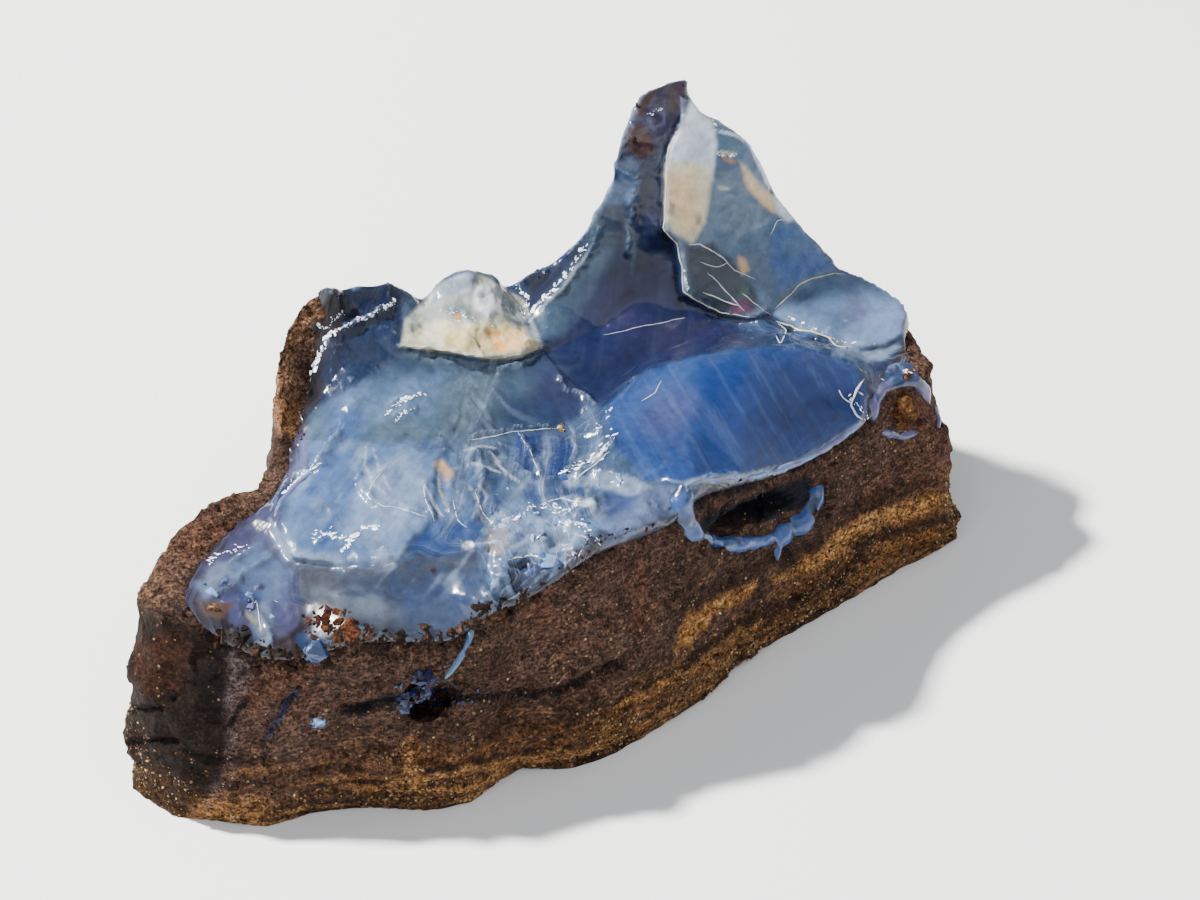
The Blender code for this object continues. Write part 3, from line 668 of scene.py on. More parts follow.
def keep_paint(piece, paint, name="stone_tint"):
    """Store a linear colour on each vertex."""
    layer = piece.data.color_attributes.new(name, "FLOAT_COLOR", "POINT")
    full = np.ones((len(paint), 4), dtype=np.float32)
    full[:, :3] = paint
    layer.data.foreach_set("color", full.ravel())


# %% Tint the opal
def blend_by_zone(sheet, base, table, soft=14):
    """A value that changes softly from zone to zone."""
    value = np.full(len(sheet), float(base))
    for amount, outline in table:
        mask = zone(sheet, outline, soft, 5)
        value = value * (1 - mask) + amount * mask
    return value


sheet = on_sheet(co)
facing = ease(-0.25, 0.1, no @ BACK)
drift = clouds(co, 6 * MM, 81)
fine = clouds(co, 1.2 * MM, 83)
paint = np.tile(PALETTE["slate"], (len(co), 1))
paint = lay(paint, "navy", ease(0.0, 0.9, drift) * 0.7)
paint = lay(paint, "sea", ease(0.1, 0.9, -drift + 0.4 * fine) * 0.6)
paint = lay(paint, "sky", ease(0.5, 1.1, fine + 0.3 * drift) * 0.35)
back_paint = paint

# %% [markdown]
# Each zone is a soft outline with one palette colour.  They are laid in order, whole parts first,
# then their patches, facets and chips, so that a later one covers the ones before it.

# %% Zones of the opal
DEEPEN, PAINTED_GLOW = 0.72, 1.5     # brightness of the other parts, and of the thin flakes and the mound: their paler stone plus painted glow of light shining through them
OPAL_ZONES = (
    # colour, strength, softness, raggedness, outline
    ("slate", 0.9, 14, 6, WALL),
    ("indigo", 0.75, 14, 6, WALL),
    ("plum", 0.5, 20, 8, ((600, 300), (660, 290), (720, 320), (740, 340), (680, 360), (610, 370))),
    ("navy", 0.8, 14, 6, ((640, 250), (664, 229), (683, 300), (700, 318), (660, 320), (630, 300))),
    ("navy", 0.5, 20, 8, ((560, 370), (600, 330), (650, 330), (640, 372), (600, 398))),
    ("mist", 0.75, 7, 5, ((530, 318), (552, 286), (578, 254), (596, 222), (604, 190), (622, 208),
                          (614, 250), (588, 300),
                          (560, 335), (540, 345))),
    ("slate", 0.6, 5, 4, ((560, 300), (584, 268), (600, 270), (586, 306), (566, 330))),
    ("sky", 0.75, 3, 2, ((608, 184), (622, 176), (640, 178), (638, 204), (606, 205))),
    ("sky", 0.55, 3, 2, ((616, 164), (630, 158), (640, 166), (636, 180), (618, 182))),
    ("mist", 0.6, 3, 2, ((622, 208), (634, 208), (636, 240), (632, 274), (627, 250))),
    ("slate", 0.9, 3, 2, GREY_FACET),
    ("mist", 0.4, 14, 6, ((500, 372), (530, 362), (545, 380), (520, 400), (490, 400))),
    ("plum", 0.4, 10, 4, ((545, 352), (600, 402), (570, 412), (530, 392))),
    ("mist", 0.85, 12, 6, BASIN),
    ("slate", 0.65, 12, 6, ((320, 400), (400, 352), (480, 362), (440, 380), (380, 392), (330, 425))),
    ("sky", 0.6, 14, 8, ((345, 385), (440, 370), (440, 400), (380, 425), (330, 430))),
    ("sea", 0.7, 8, 6, ((330, 410), (368, 414), (376, 440), (330, 446))),
    ("moss", 0.35, 14, 10, ((356, 434), (390, 424), (425, 428), (404, 446), (364, 450))),
    ("sky", 0.7, 6, 5, PLATE),
    ("sea", 0.55, 12, 8, ((290, 450), (340, 450), (390, 480), (380, 520), (310, 500))),
    ("milk", 0.45, 12, 6, ((360, 465), (410, 455), (430, 500), (400, 540), (350, 530))),
    ("milk", 0.6, 6, 5, ((268, 528), (286, 530), (300, 548), (345, 556), (340, 568), (292, 566),
                         (272, 548))),
    ("sea", 0.6, 14, 8, ((300, 540), (330, 520), (360, 545), (330, 562))),
    ("sky", 0.55, 10, 8, CENTRE),
    ("slate", 0.45, 16, 10, ((440, 450), (520, 440), (600, 404), (640, 470), (560, 500), (470, 500))),
    ("indigo", 0.7, 3, 2, BLUE_FACET),
    ("royal", 0.5, 3, 2, BLUE_FACET),
    ("slate", 0.6, 4, 3, ((470, 446), (512, 440), (512, 468), (500, 486), (474, 470))),
    ("lilac", 0.7, 5, 3, SMOOTH_END),
    ("sky", 0.4, 8, 4, SMOOTH_END),
    ("royal", 0.6, 4, 3, ((606, 486), (640, 494), (630, 512), (604, 516))),
    ("navy", 0.55, 5, 4, ((553, 486), (600, 490), (606, 512), (580, 520), (552, 504))),
    ("milk", 0.8, 3, 2, ((563, 477), (607, 470), (653, 488), (633, 497), (593, 487), (567, 487))),
    ("sea", 0.5, 8, 6, ((430, 520), (478, 520), (500, 540), (480, 560), (440, 556), (410, 548))),
    ("moss", 0.4, 20, 10, ((450, 372), (490, 376), (500, 415), (470, 440), (445, 430))),
    ("sea", 0.8, 4, 2, LENS),
    ("royal", 0.55, 4, 2, LENS),
    ("royal", 0.85, 22, 6, ((700, 372), (800, 355), (850, 372), (862, 410), (800, 445), (700, 460))),
    ("navy", 0.4, 20, 6, ((770, 372), (830, 370), (850, 395), (800, 430), (760, 425))),
    ("sea", 0.6, 6, 4, ((604, 420), (640, 384), (690, 362), (700, 372), (656, 400), (626, 440))),
    ("lilac", 0.3, 14, 6, ((650, 390), (690, 385), (700, 410), (670, 440), (640, 430))),
    ("sky", 0.8, 6, 6, BLOCK),
    ("milk", 0.5, 4, 4, ((500, 515), (560, 512), (584, 530), (575, 556), (520, 552), (496, 540))),
    ("peach", 0.3, 4, 3, ((487, 530), (508, 526), (512, 544), (500, 558), (486, 552))),
    ("indigo", 0.85, 3, 2, ((503, 566), (530, 560), (550, 566), (548, 592), (512, 596))),
    ("ash", 0.85, 8, 5, DOME),
    ("slate", 0.45, 14, 8, ((330, 572), (470, 560), (480, 585), (400, 592), (330, 588))),
    ("umber", 0.3, 12, 6, ((292, 572), (340, 575), (350, 592), (300, 592))),
    ("slate", 0.3, 10, 6, ((340, 578), (400, 575), (410, 602), (350, 606))),
    ("sea", 0.6, 16, 6, ((400, 590), (478, 570), (484, 604), (470, 631), (430, 640), (395, 625))),
    ("milk", 0.3, 14, 6, ((320, 590), (380, 598), (400, 618), (340, 615))),
    ("lilac", 0.55, 8, 6, BENCH),
    ("slate", 0.5, 8, 6, ((200, 575), (240, 560), (240, 600), (205, 600))),
    ("sky", 0.6, 5, 6, ((222, 566), (262, 540), (290, 575), (285, 602), (240, 598))),
    ("milk", 0.5, 4, 4, ((196, 584), (216, 566), (240, 562), (224, 580), (204, 596))),
    ("sea", 0.6, 5, 4, ((236, 596), (262, 590), (268, 608), (246, 612))),
    ("milk", 0.5, 4, 4, ((258, 604), (270, 600), (274, 640), (262, 646), (254, 626))),
    ("umber", 0.85, 4, 6, ((225, 614), (250, 634), (262, 648), (300, 622), (312, 634), (352, 634),
                           (320, 664), (268, 668),
                           (222, 648), (186, 608))),
    ("tan", 0.85, 3, 2, ((192, 598), (214, 600), (232, 606), (220, 620), (204, 616))),
    ("sea", 0.7, 3, 2, ((296, 634), (322, 630), (330, 644), (308, 656), (296, 648))),
    ("rust", 0.8, 3, 3, ((312, 616), (344, 614), (346, 628), (332, 640), (318, 628))),
    ("navy", 0.8, 5, 4, LUMP),
    ("slate", 0.5, 10, 6, ((350, 330), (395, 320), (395, 350), (360, 375), (325, 395))),
    ("ink", 0.5, 8, 6, ((335, 290), (390, 284), (385, 300), (340, 320), (322, 345), (318, 330))),
    ("mist", 0.6, 3, 2, ((400, 292), (408, 290), (412, 310), (410, 330), (404, 330))),
    ("umber", 0.9, 6, 6, CRUST_STRIP),
    ("mist", 0.75, 3, 2, MOUND),
    ("cream", 0.45, 3, 2, MOUND),
    ("moss", 0.6, 8, 4, ((408, 335), (430, 305), (460, 290), (480, 310), (470, 345), (430, 346))),
    ("cream", 0.6, 6, 4, ((405, 338), (425, 322), (445, 316), (475, 322), (512, 322), (538, 345),
                          (519, 353),
                          (490, 356), (449, 349), (419, 345))),
    ("honey", 0.55, 5, 4, ((440, 334), (480, 326), (516, 322), (538, 345), (519, 353), (490, 356),
                           (450, 349))),
    ("frost", 0.6, 4, 3, ((470, 284), (492, 284), (502, 302), (488, 318), (474, 306))),
    ("rose", 0.2, 4, 3, ((478, 282), (496, 286), (504, 306), (490, 312))),
    ("peach", 0.7, 4, 3, ((488, 334), (520, 330), (530, 342), (512, 352), (492, 350))),
    ("mist", 0.7, 4, 3, ((440, 283), (467, 272), (480, 278), (462, 290), (440, 300), (428, 304))),
    ("moss", 0.7, 2, 2, ((502, 292), (512, 300), (524, 326), (516, 328), (500, 306))),
    ("slate", 0.4, 4, 3, ((446, 306), (462, 300), (470, 312), (456, 320))),
    ("mist", 0.6, 5, 4, ((515, 300), (530, 315), (541, 344), (524, 338))),
    ("teal", 0.9, 2, 1, FLAKE),
    ("mist", 0.4, 8, 6, ((712, 170), (760, 190), (772, 240), (730, 250), (706, 230))),
    ("mist", 0.6, 6, 4, ((716, 122), (751, 144), (768, 184), (740, 170), (718, 150))),
    ("ink", 0.6, 5, 3, ((686, 246), (712, 242), (735, 262), (752, 292), (760, 306), (745, 313), (718, 311),
                        (694, 297),
                        (685, 272))),
    ("frost", 0.75, 3, 1, ((682, 98), (694, 101), (712, 120), (717, 142), (713, 180), (690, 190),
                           (665, 176),
                           (670, 146), (679, 124))),
    ("moss", 0.35, 6, 3, ((690, 130), (712, 140), (712, 180), (694, 186), (688, 160))),
    ("cream", 0.85, 3, 1, ((665, 164), (690, 160), (711, 168), (711, 192), (706, 222), (692, 243),
                           (672, 233), (665, 220))),
    ("peach", 0.6, 7, 3, ((668, 172), (694, 172), (700, 205), (690, 234), (676, 230), (668, 206))),
    ("umber", 0.6, 2, 1, ((669, 200), (675, 204), (673, 216), (668, 212))),
    ("umber", 0.5, 2, 1, ((696, 218), (702, 214), (701, 224), (696, 226))),
    ("cream", 0.5, 2, 2, ((740, 160), (748, 166), (762, 182), (775, 198), (777, 212), (768, 208),
                          (755, 192))),
    ("peach", 0.5, 2, 2, ((742, 166), (747, 168), (759, 184), (771, 198), (774, 212), (767, 210),
                          (757, 198),
                           (746, 182))),
    ("frost", 0.6, 3, 2, ((774, 194), (790, 206), (797, 220), (786, 222), (776, 212))),
    ("sea", 0.7, 6, 4, ((774, 222), (800, 228), (832, 266), (800, 282), (778, 290), (770, 255))),
    ("mist", 0.5, 8, 5, ((780, 226), (802, 232), (815, 252), (790, 262))),
    ("rose", 0.7, 3, 2, ((730, 300), (746, 300), (752, 312), (734, 314))),
    ("jade", 0.7, 3, 2, ((740, 286), (748, 288), (746, 298), (738, 296))),
    ("peach", 0.7, 3, 1, ((738, 256), (745, 258), (750, 270), (742, 275))),
    ("teal", 0.85, 2, 1, LOW_FLAKE),
    ("sky", 0.2, 4, 2, LOW_FLAKE),
    ("slate", 0.5, 10, 5, ((790, 292), (850, 286), (880, 310), (840, 332), (800, 322))),
    ("sky", 0.4, 8, 4, ((850, 285), (906, 300), (900, 334), (866, 346), (870, 310))),
    ("lilac", 0.3, 12, 5, ((850, 300), (900, 300), (900, 330), (860, 335))),
    ("plum", 0.9, 3, 3, SPIRE),
    ("rust", 0.75, 2, 3, ((637, 92), (660, 79), (691, 74), (690, 80), (662, 88), (648, 100), (642, 118),
                          (636, 112))),
    ("maroon", 0.7, 3, 2, ((664, 86), (690, 80), (692, 96), (682, 104), (672, 120), (668, 108))),
    ("rust", 0.9, 2, 3, ((621, 130), (640, 124), (653, 136), (652, 152), (642, 160), (626, 152))),
    ("umber", 0.9, 6, 5, ((868, 398), (905, 345), (945, 350), (945, 400), (900, 420), (866, 424))),
    ("rust", 0.6, 4, 5, ((906, 350), (930, 350), (936, 380), (912, 376))),
    ("lilac", 0.5, 6, 4, ((872, 385), (900, 362), (930, 375), (925, 392), (885, 398))),
)
for name, strength, soft, ragged, outline in OPAL_ZONES:
    paint = lay(paint, name, strength * zone(sheet, outline, soft, ragged))
print(len(OPAL_ZONES), "zones laid")

# %% [markdown]
# Milky veils drift through the crushed middle, thin rays fan out below the mound, and fine lines
# cross the lens.  Strokes lay what is long and thin: seams, rims, curls and single crystals.

# %% Veils and strokes of the opal
veils = streaks(sheet, 128, 70, 9, 91) * 0.6 + clouds(sheet, 20, 93) * 0.5
milky = zone(sheet, ((300, 445), (470, 440), (600, 450), (610, 530), (480, 600), (300, 560)), 24)
paint = lay(paint, "milk", milky * ease(0.1, 0.8, veils) * 0.6)
paint = lay(paint, "royal", milky * ease(0.1, 0.9, -veils) * 0.5)
rays = fan(sheet + 8 * np.stack([clouds(sheet, 40, 65), clouds(sheet, 40, 66)], 1), (466, 376), 22, 60, 61)
paint = lay(paint, "milk", feathers * ease(0.25, 0.9, rays) * 0.15)
paint = lay(paint, "slate", feathers * ease(0.15, 0.8, -rays) * 0.15)
paint = lay(paint, "sky", zone(sheet, LENS, 4) * ease(0.35, 0.9, streaks(sheet, 60, 90, 4, 95)) * 0.14)
paint = lay(paint, "navy", zone(sheet, LENS, 4) * ease(0.4, 0.9, streaks(sheet, 60, 70, 6, 97)) * 0.2)
OPAL_STROKES = (
    # colour, strength, width, raggedness, line
    ("ink", 0.7, 18, 6, ((338, 292), (322, 330), (310, 370), (310, 400))),
    ("lilac", 0.6, 18, 5, ((300, 430), (298, 460), (280, 480))),
    ("maroon", 0.8, 20, 6, ((270, 484), (240, 500), (205, 520))),
    ("umber", 0.9, 14, 5, ((262, 492), (215, 516), (180, 560), (176, 600))),
    ("lilac", 0.8, 4, 1, ((648, 112), (656, 108), (665, 114), (664, 124), (654, 128), (648, 120),
                          (648, 112))),
    ("cream", 0.7, 3, 1, ((718, 152), (736, 154))),
    ("amber", 0.6, 3, 1, ((722, 158), (734, 162))),
    ("moss", 0.6, 4, 2, ((714, 172), (730, 176))),
    ("cream", 0.4, 3, 2, ((716, 186), (729, 189))),
    ("moss", 0.6, 4, 2, ((718, 203), (738, 207))),
    # pale glassy rim of the flake, with a painted highlight on it
    ("frost", 0.7, 3, 1, ((716, 130), (730, 134), (748, 142), (756, 156))),
    ("frost", 0.5, 4, 2, ((752, 150), (762, 168), (770, 188))),
    ("milk", 0.8, 8, 3, ((271, 520), (278, 545), (300, 560), (340, 564))),
    ("cream", 0.7, 4, 2, ((401, 347), (449, 351), (490, 358), (519, 355), (543, 347))),
    ("peach", 0.6, 14, 6, ((437, 468), (455, 472))),
    ("frost", 0.55, 2, 2, ((463, 451), (478, 447), (498, 449))),
    ("frost", 0.55, 2, 2, ((468, 462), (484, 464), (502, 473))),
    ("frost", 0.55, 2, 2, ((488, 452), (498, 462), (508, 474), (522, 486))),
    ("frost", 0.5, 2, 2, ((425, 486), (434, 500), (440, 514), (446, 522))),
    ("cream", 0.5, 2, 2, ((439, 474), (441, 492), (450, 512))),
    ("cream", 0.5, 2, 2, ((470, 486), (478, 500), (480, 514), (490, 530))),
    ("frost", 0.5, 2, 2, ((480, 484), (488, 496), (484, 510))),
    ("frost", 0.35, 2, 3, ((366, 446), (364, 466), (374, 484), (388, 496))),
    ("frost", 0.35, 2, 2, ((374, 450), (378, 470), (392, 490))),
    ("milk", 0.5, 3, 2, ((556, 500), (572, 496), (588, 500), (596, 510), (584, 516))),
    ("milk", 0.6, 4, 3, ((497, 560), (510, 548), (528, 540), (544, 556), (556, 570))),
    # painted light: a pale stroke under the mound's lower edge fills the shade below that edge
    ("mist", 0.8, 9, 2, ((404, 354), (449, 359), (490, 366), (519, 363), (541, 355))),
    ("frost", 0.7, 6, 4, ((590, 462), (600, 455))),
    ("frost", 0.7, 7, 4, ((572, 506), (596, 502))),
    ("maroon", 0.8, 12, 5, ((568, 562), (590, 552))),
    ("ink", 0.8, 14, 5, ((586, 545), (604, 534))),
    ("slate", 0.5, 6, 3, ((340, 596), (370, 590), (402, 600))),
    ("maroon", 0.9, 5, 0, ((431, 571), (435, 571))),
    ("cream", 0.6, 6, 3, ((246, 610), (262, 632))),
    ("maroon", 0.8, 5, 0, ((260, 587), (264, 587))),
    ("milk", 0.7, 8, 5, ((258, 640), (272, 654))),
    # painted highlight along the ridge left of the wall
    ("frost", 0.4, 4, 3, ((530, 320), (560, 290), (590, 250))),
    ("ink", 0.6, 7, 3, ((660, 170), (660, 230), (672, 256), (679, 300))),
    ("ink", 0.7, 14, 5, ((518, 280), (535, 276), (548, 270))),
    ("milk", 0.8, 9, 4, ((690, 480), (740, 480), (770, 476), (800, 464), (840, 447), (862, 425))),
    # painted shade: black along the gap under the lens's lip
    ("ink", 0.8, 6, 3, ((694, 486), (740, 486), (768, 482))),
    ("amber", 0.8, 6, 2, ((455, 315), (460, 316))),
    ("amber", 0.7, 8, 4, ((488, 328), (500, 336))),
    ("amber", 0.7, 8, 4, ((496, 346), (506, 348))),
    ("ink", 0.9, 6, 0, ((771, 190), (774, 192))),
    ("milk", 0.5, 12, 5, ((836, 352), (870, 356), (900, 345))),
)
for name, strength, width, ragged, line in OPAL_STROKES:
    paint = lay(paint, name, strength * stroke(sheet, line, width, None, ragged))
print(len(OPAL_STROKES), "strokes laid")

# %% [markdown]
# Last come the marks that follow shape: ridges are painted paler, partly milky edge and partly painted
# highlight, creases darker as painted shade, the rim next to the ironstone is brown, the flakes and the
# mound are lightened as painted glow of light shining through them, and each part is lightened or darkened
# as a whole.

# %% Shape and depth of the opal
# Painted highlight and shade: ridges go toward milk, partly the milky edge of broken opal and partly painted
# highlight; creases go toward navy as painted shade.
paint = lay(paint, "milk", ease(0.25, 1.2, bend + 0.2 * fine) * 0.4)
paint = lay(paint, "navy", ease(0.25, 1.5, -bend) * 0.3)
near_stone = 1 - ease(0.3 * MM, 1.1 * MM, gap + 0.35 * MM * clouds(co, 0.9 * MM, 87))
paint = lay(paint, "umber", near_stone * 0.8)
# Painted glow: the thin flakes and the mound are lightened for light shining through them, and everything
# else is deepened.
bright = zone(sheet, FLAKE, 2) + zone(sheet, LOW_FLAKE, 2) + zone(sheet, MOUND, 2)
paint = paint * (DEEPEN + (PAINTED_GLOW - DEEPEN) * np.clip(bright, 0, 1))[:, None]
SHADES = ((0.85, WALL), (0.8, DOME), (0.75, BENCH), (0.85, BLOCK), (0.9, CENTRE),
          (0.45, LOW_CORNER))
paint = paint * blend_by_zone(sheet, 1.0, SHADES, 8)[:, None]
paint = back_paint * (1 - facing[:, None]) + paint * facing[:, None]
keep_paint(opal, paint)

# %% [markdown]
# The finest marks are drawn by the finish itself.  Two more things are kept on each point for it: how
# strongly milky threads, glints and clear spots show there, and a map that runs along the threads, so
# that they follow the way each part broke.

# %% Threads, glints and flow
THREADS = ((0.06, WALL), (0.05, GREY_FACET), (0.12, BASIN), (0.2, PLATE), (0.4, CENTRE), (0.6, BLOCK),
           (0.08, DOME),
           (0.15, BENCH), (0.06, LENS), (0.15, FLAKE), (0.12, LOW_FLAKE), (0.1, LUMP), (0.15, MOUND),
           (0.1, SPIRE), (0.05, SMOOTH_END))
GLINTS = ((0.25, WALL), (0.2, GREY_FACET), (0.4, BASIN), (0.45, PLATE), (0.55, CENTRE), (0.7, BLOCK),
          (0.2, DOME),
          (0.3, BENCH), (0.25, LENS), (0.4, FLAKE), (0.3, LOW_FLAKE), (0.7, LUMP), (0.4, MOUND),
          (0.6, SPIRE), (0.2, SMOOTH_END), (0.1, LOW_CORNER))
threads = blend_by_zone(sheet, 0.4, THREADS)
glints = blend_by_zone(sheet, 0.5, GLINTS)


def flow_map(sheet):
    """Across and along the threads, in hundreds of squares, turning from zone to zone."""
    turns = ((128, BASIN), (132, PLATE), (100, CENTRE), (70, BLOCK), (15, DOME), (120, BENCH), (50, LENS),
             (98, WALL), (60, GREY_FACET), (75, FLAKE), (20, LOW_FLAKE))
    angle = np.radians(blend_by_zone(sheet, 110, turns, 22))
    rel = (sheet - np.array((500, 450))) / 100
    across = -rel[:, 0] * np.sin(angle) + rel[:, 1] * np.cos(angle)
    along = rel[:, 0] * np.cos(angle) + rel[:, 1] * np.sin(angle)
    return np.stack([across, along], 1)


def keep_map(piece, name, pairs):
    """Store a map with one pair of numbers for each vertex."""
    corners = np.zeros(len(piece.data.loops), int)
    piece.data.loops.foreach_get("vertex_index", corners)
    layer = piece.data.uv_layers.new(name=name)
    layer.data.foreach_set("uv", pairs[corners].astype(np.float32).ravel())


keep_map(opal, "flow", flow_map(sheet))
SOAK = ((0.15, FLAKE), (0.5, CLEAR_FOOT), (0.12, LOW_FLAKE), (0.12, MOUND), (0.0, WALL))
soak = blend_by_zone(sheet, 0.0, SOAK, 4)
keep_paint(opal, np.stack([threads, glints, soak], 1), "stone_marks")
print("opal tints", np.round(paint.mean(0), 3), "threads", round(float(threads.mean()), 2))

# %% [markdown]
# ## The ironstone's tints
# Ironstone is banded: brown above, then an ochre band and thin gold and dark beds low down.  Beds
# follow the height above the base, warped a little.

# %% Tint the ironstone
stone_sheet = on_sheet(sc)
stone_facing = ease(-0.3, 0.1, sn @ BACK)
grit = clouds(sc, 0.5 * MM, 101, 2)
patch = clouds(sc, 5 * MM, 103)
beds = sc[:, 2] + 0.9 * MM * clouds(sc, 8 * MM, 71, 2)
bed_wave = smooth_noise(np.stack([sc[:, 0] / (8 * MM), sc[:, 1] / (8 * MM), beds / (0.5 * MM)], 1), 73)
thin_bed = smooth_noise(np.stack([sc[:, 0] / (5 * MM), sc[:, 1] / (5 * MM), beds / (0.28 * MM)], 1), 111)
brown = np.tile(PALETTE["cocoa"], (len(sc), 1))
brown = lay(brown, "bark", ease(-0.2, 0.8, patch) * 0.6)
brown = lay(brown, "rust", ease(0.1, 0.9, -patch) * 0.35)
low = 1 - ease(2.5 * MM, 6 * MM, beds)
brown = lay(brown, "ochre", low * ease(0.35, 0.75, bed_wave) * 0.6)
brown = lay(brown, "bark", low * ease(0.35, 0.75, 1 - bed_wave) * 0.6)
lowest = 1 - ease(0.8 * MM, 2.6 * MM, beds)
brown = lay(brown, "gold", lowest * ease(0.5, 0.8, thin_bed) * 0.7)
brown = lay(brown, "bark", lowest * ease(0.6, 0.9, 1 - thin_bed) * 0.7)
speck = clouds(sc, 0.9 * MM, 113, 3)
brown = lay(brown, "tan", ease(0.3, 0.9, speck) * (0.25 + 0.35 * low))
brown = lay(brown, "bark", ease(0.3, 0.9, -speck) * 0.4)
band = 1 - ease(0.35 * MM, 0.75 * MM, np.abs(beds - 4.1 * MM + 0.5 * MM * patch))
to_right = np.maximum(ease(560, 680, stone_sheet[:, 0]), 1 - stone_facing)
brown = lay(brown, "amberband", band * to_right * ease(-0.6, 0.4, clouds(sc, 12 * MM, 107, 2)) * 0.5)
brown = lay(brown, "ink", ease(0.6, 1.1, -grit) * 0.3)

# %% [markdown]
# The marks of the front are laid like the opal's: patches first, then veins and bands, and last black over
# the carved cracks, the crystal cavity and the gap under the lens's lip, as painted shade in those hollows.

# %% Zones and strokes of the ironstone
STONE_ZONES = (
    ("ash", 0.16, 12, 8, ((222, 640), (250, 640), (242, 700), (232, 760), (205, 806), (198, 770),
                          (214, 700))),
    # painted shade: black in the crystal cavity
    ("ink", 0.6, 4, 3, ((408, 690), (425, 684), (446, 690), (450, 704), (430, 716), (408, 708))),
    ("umber", 0.25, 10, 8, ((690, 455), (830, 430), (866, 420), (830, 500), (800, 492), (700, 520))),
    ("bark", 0.95, 6, 6, ((129, 600), (225, 640), (228, 760), (180, 820), (125, 790), (120, 700))),
    ("rust", 0.5, 4, 4, ((135, 640), (190, 624), (188, 690), (150, 700), (136, 690))),
    ("ochre", 0.35, 8, 6, ((128, 760), (200, 790), (260, 800), (262, 830), (180, 822), (128, 790))),
    ("tan", 0.12, 4, 4, ((129, 600), (159, 560), (199, 506), (239, 493), (245, 505), (205, 535), (185, 590),
                         (181, 612))),
    ("ink", 0.4, 8, 4, ((195, 630), (226, 640), (225, 720), (200, 715))),
    ("tan", 0.75, 6, 5, ((318, 284), (290, 309), (274, 350), (272, 400), (280, 438), (298, 436), (300, 400),
                         (300, 350),
                         (318, 318), (334, 292))),
    ("ochre", 0.6, 6, 4, ((280, 400), (302, 400), (300, 436), (284, 438))),
)
for name, strength, soft, ragged, outline in STONE_ZONES:
    brown = lay(brown, name, strength * zone(stone_sheet, outline, soft, ragged) * stone_facing)
STONE_STROKES = (
    ("bark", 0.7, 14, 4, ((960, 476), (900, 488), (850, 512), (800, 552), (745, 572), (690, 606),
                          (668, 636))),
    ("amberband", 0.95, 16, 5, ((962, 496), (905, 508), (860, 528), (820, 562), (775, 580))),
    ("gold", 0.6, 8, 5, ((930, 502), (880, 516), (850, 536))),
    ("amberband", 0.9, 14, 5, ((752, 586), (705, 612), (675, 648))),
    ("bark", 0.85, 8, 4, ((960, 514), (905, 526), (862, 548), (830, 584), (770, 608), (700, 650),
                          (640, 690))),
    ("ochre", 0.8, 12, 5, ((950, 528), (900, 545), (850, 580))),
    ("amberband", 0.6, 8, 5, ((760, 622), (715, 652), (650, 692), (600, 720))),
    ("bark", 0.6, 5, 4, ((640, 704), (560, 740), (480, 760), (400, 776))),
    ("gold", 0.6, 5, 4, ((560, 748), (480, 768), (400, 784), (320, 790))),
    ("ochre", 0.6, 22, 14, ((400, 740), (412, 770), (420, 800))),
    ("gold", 0.4, 10, 8, ((404, 746), (412, 790))),
    ("ochre", 0.5, 20, 12, ((470, 604), (490, 616), (506, 622))),
    # painted shade: the ink lines from here on blacken the gap under the lens's lip and the carved cracks
    ("ink", 0.95, 7, 2, ((690, 489), (720, 489), (746, 487), (772, 482))),
    ("ink", 0.95, 12, 3, ((694, 488), (698, 498), (702, 508))),
    ("ink", 0.9, 5, 2, ((163, 602), (186, 613), (200, 620))),
    ("ink", 0.7, 4, 2, ((300, 770), (330, 765), (360, 768))),
    ("ink", 0.9, 5, 2, ((124, 709), (162, 712))),
    ("ink", 0.9, 5, 2, ((130, 743), (178, 743))),
    ("ink", 0.9, 5, 3, ((228, 727), (238, 708), (247, 700))),
    ("ink", 0.7, 4, 4, ((262, 760), (268, 735), (280, 715), (300, 685))),
    ("slate", 0.5, 5, 4, ((270, 735), (282, 715), (300, 688))),
    ("sky", 0.9, 8, 2, ((312, 722), (324, 722))),
    ("ink", 0.9, 10, 5, ((340, 712), (370, 706), (405, 695))),
    ("ink", 0.85, 7, 5, ((440, 705), (500, 696), (560, 690), (620, 663), (632, 645))),
    ("ink", 0.8, 5, 2, ((783, 545), (790, 560), (800, 575))),
)
for name, strength, width, ragged, line in STONE_STROKES:
    brown = lay(brown, name, strength * stroke(stone_sheet, line, width, None, ragged) * stone_facing)
print(len(STONE_ZONES), "zones and", len(STONE_STROKES), "strokes laid")

# %% [markdown]
# The slit's inside is painted black as painted shade, and the left end is darkened as painted shade; the
# share of sand grains is kept for the finish and for the grains that are scattered later.

# %% Painted shade in the slit and on the left end, and sand
# Painted shade: black deep inside the slit.
axis_gap, _, _ = line_distance(sc[:, (0, 2)] / MM, ((6.2, 11.9), (14.5, 9.7)))
slit_shade = (1 - ease(0.75, 1.2, axis_gap)) * ease(0.5 * MM, 1.0 * MM, slit_depth)
brown = lay(brown, "ink", slit_shade)
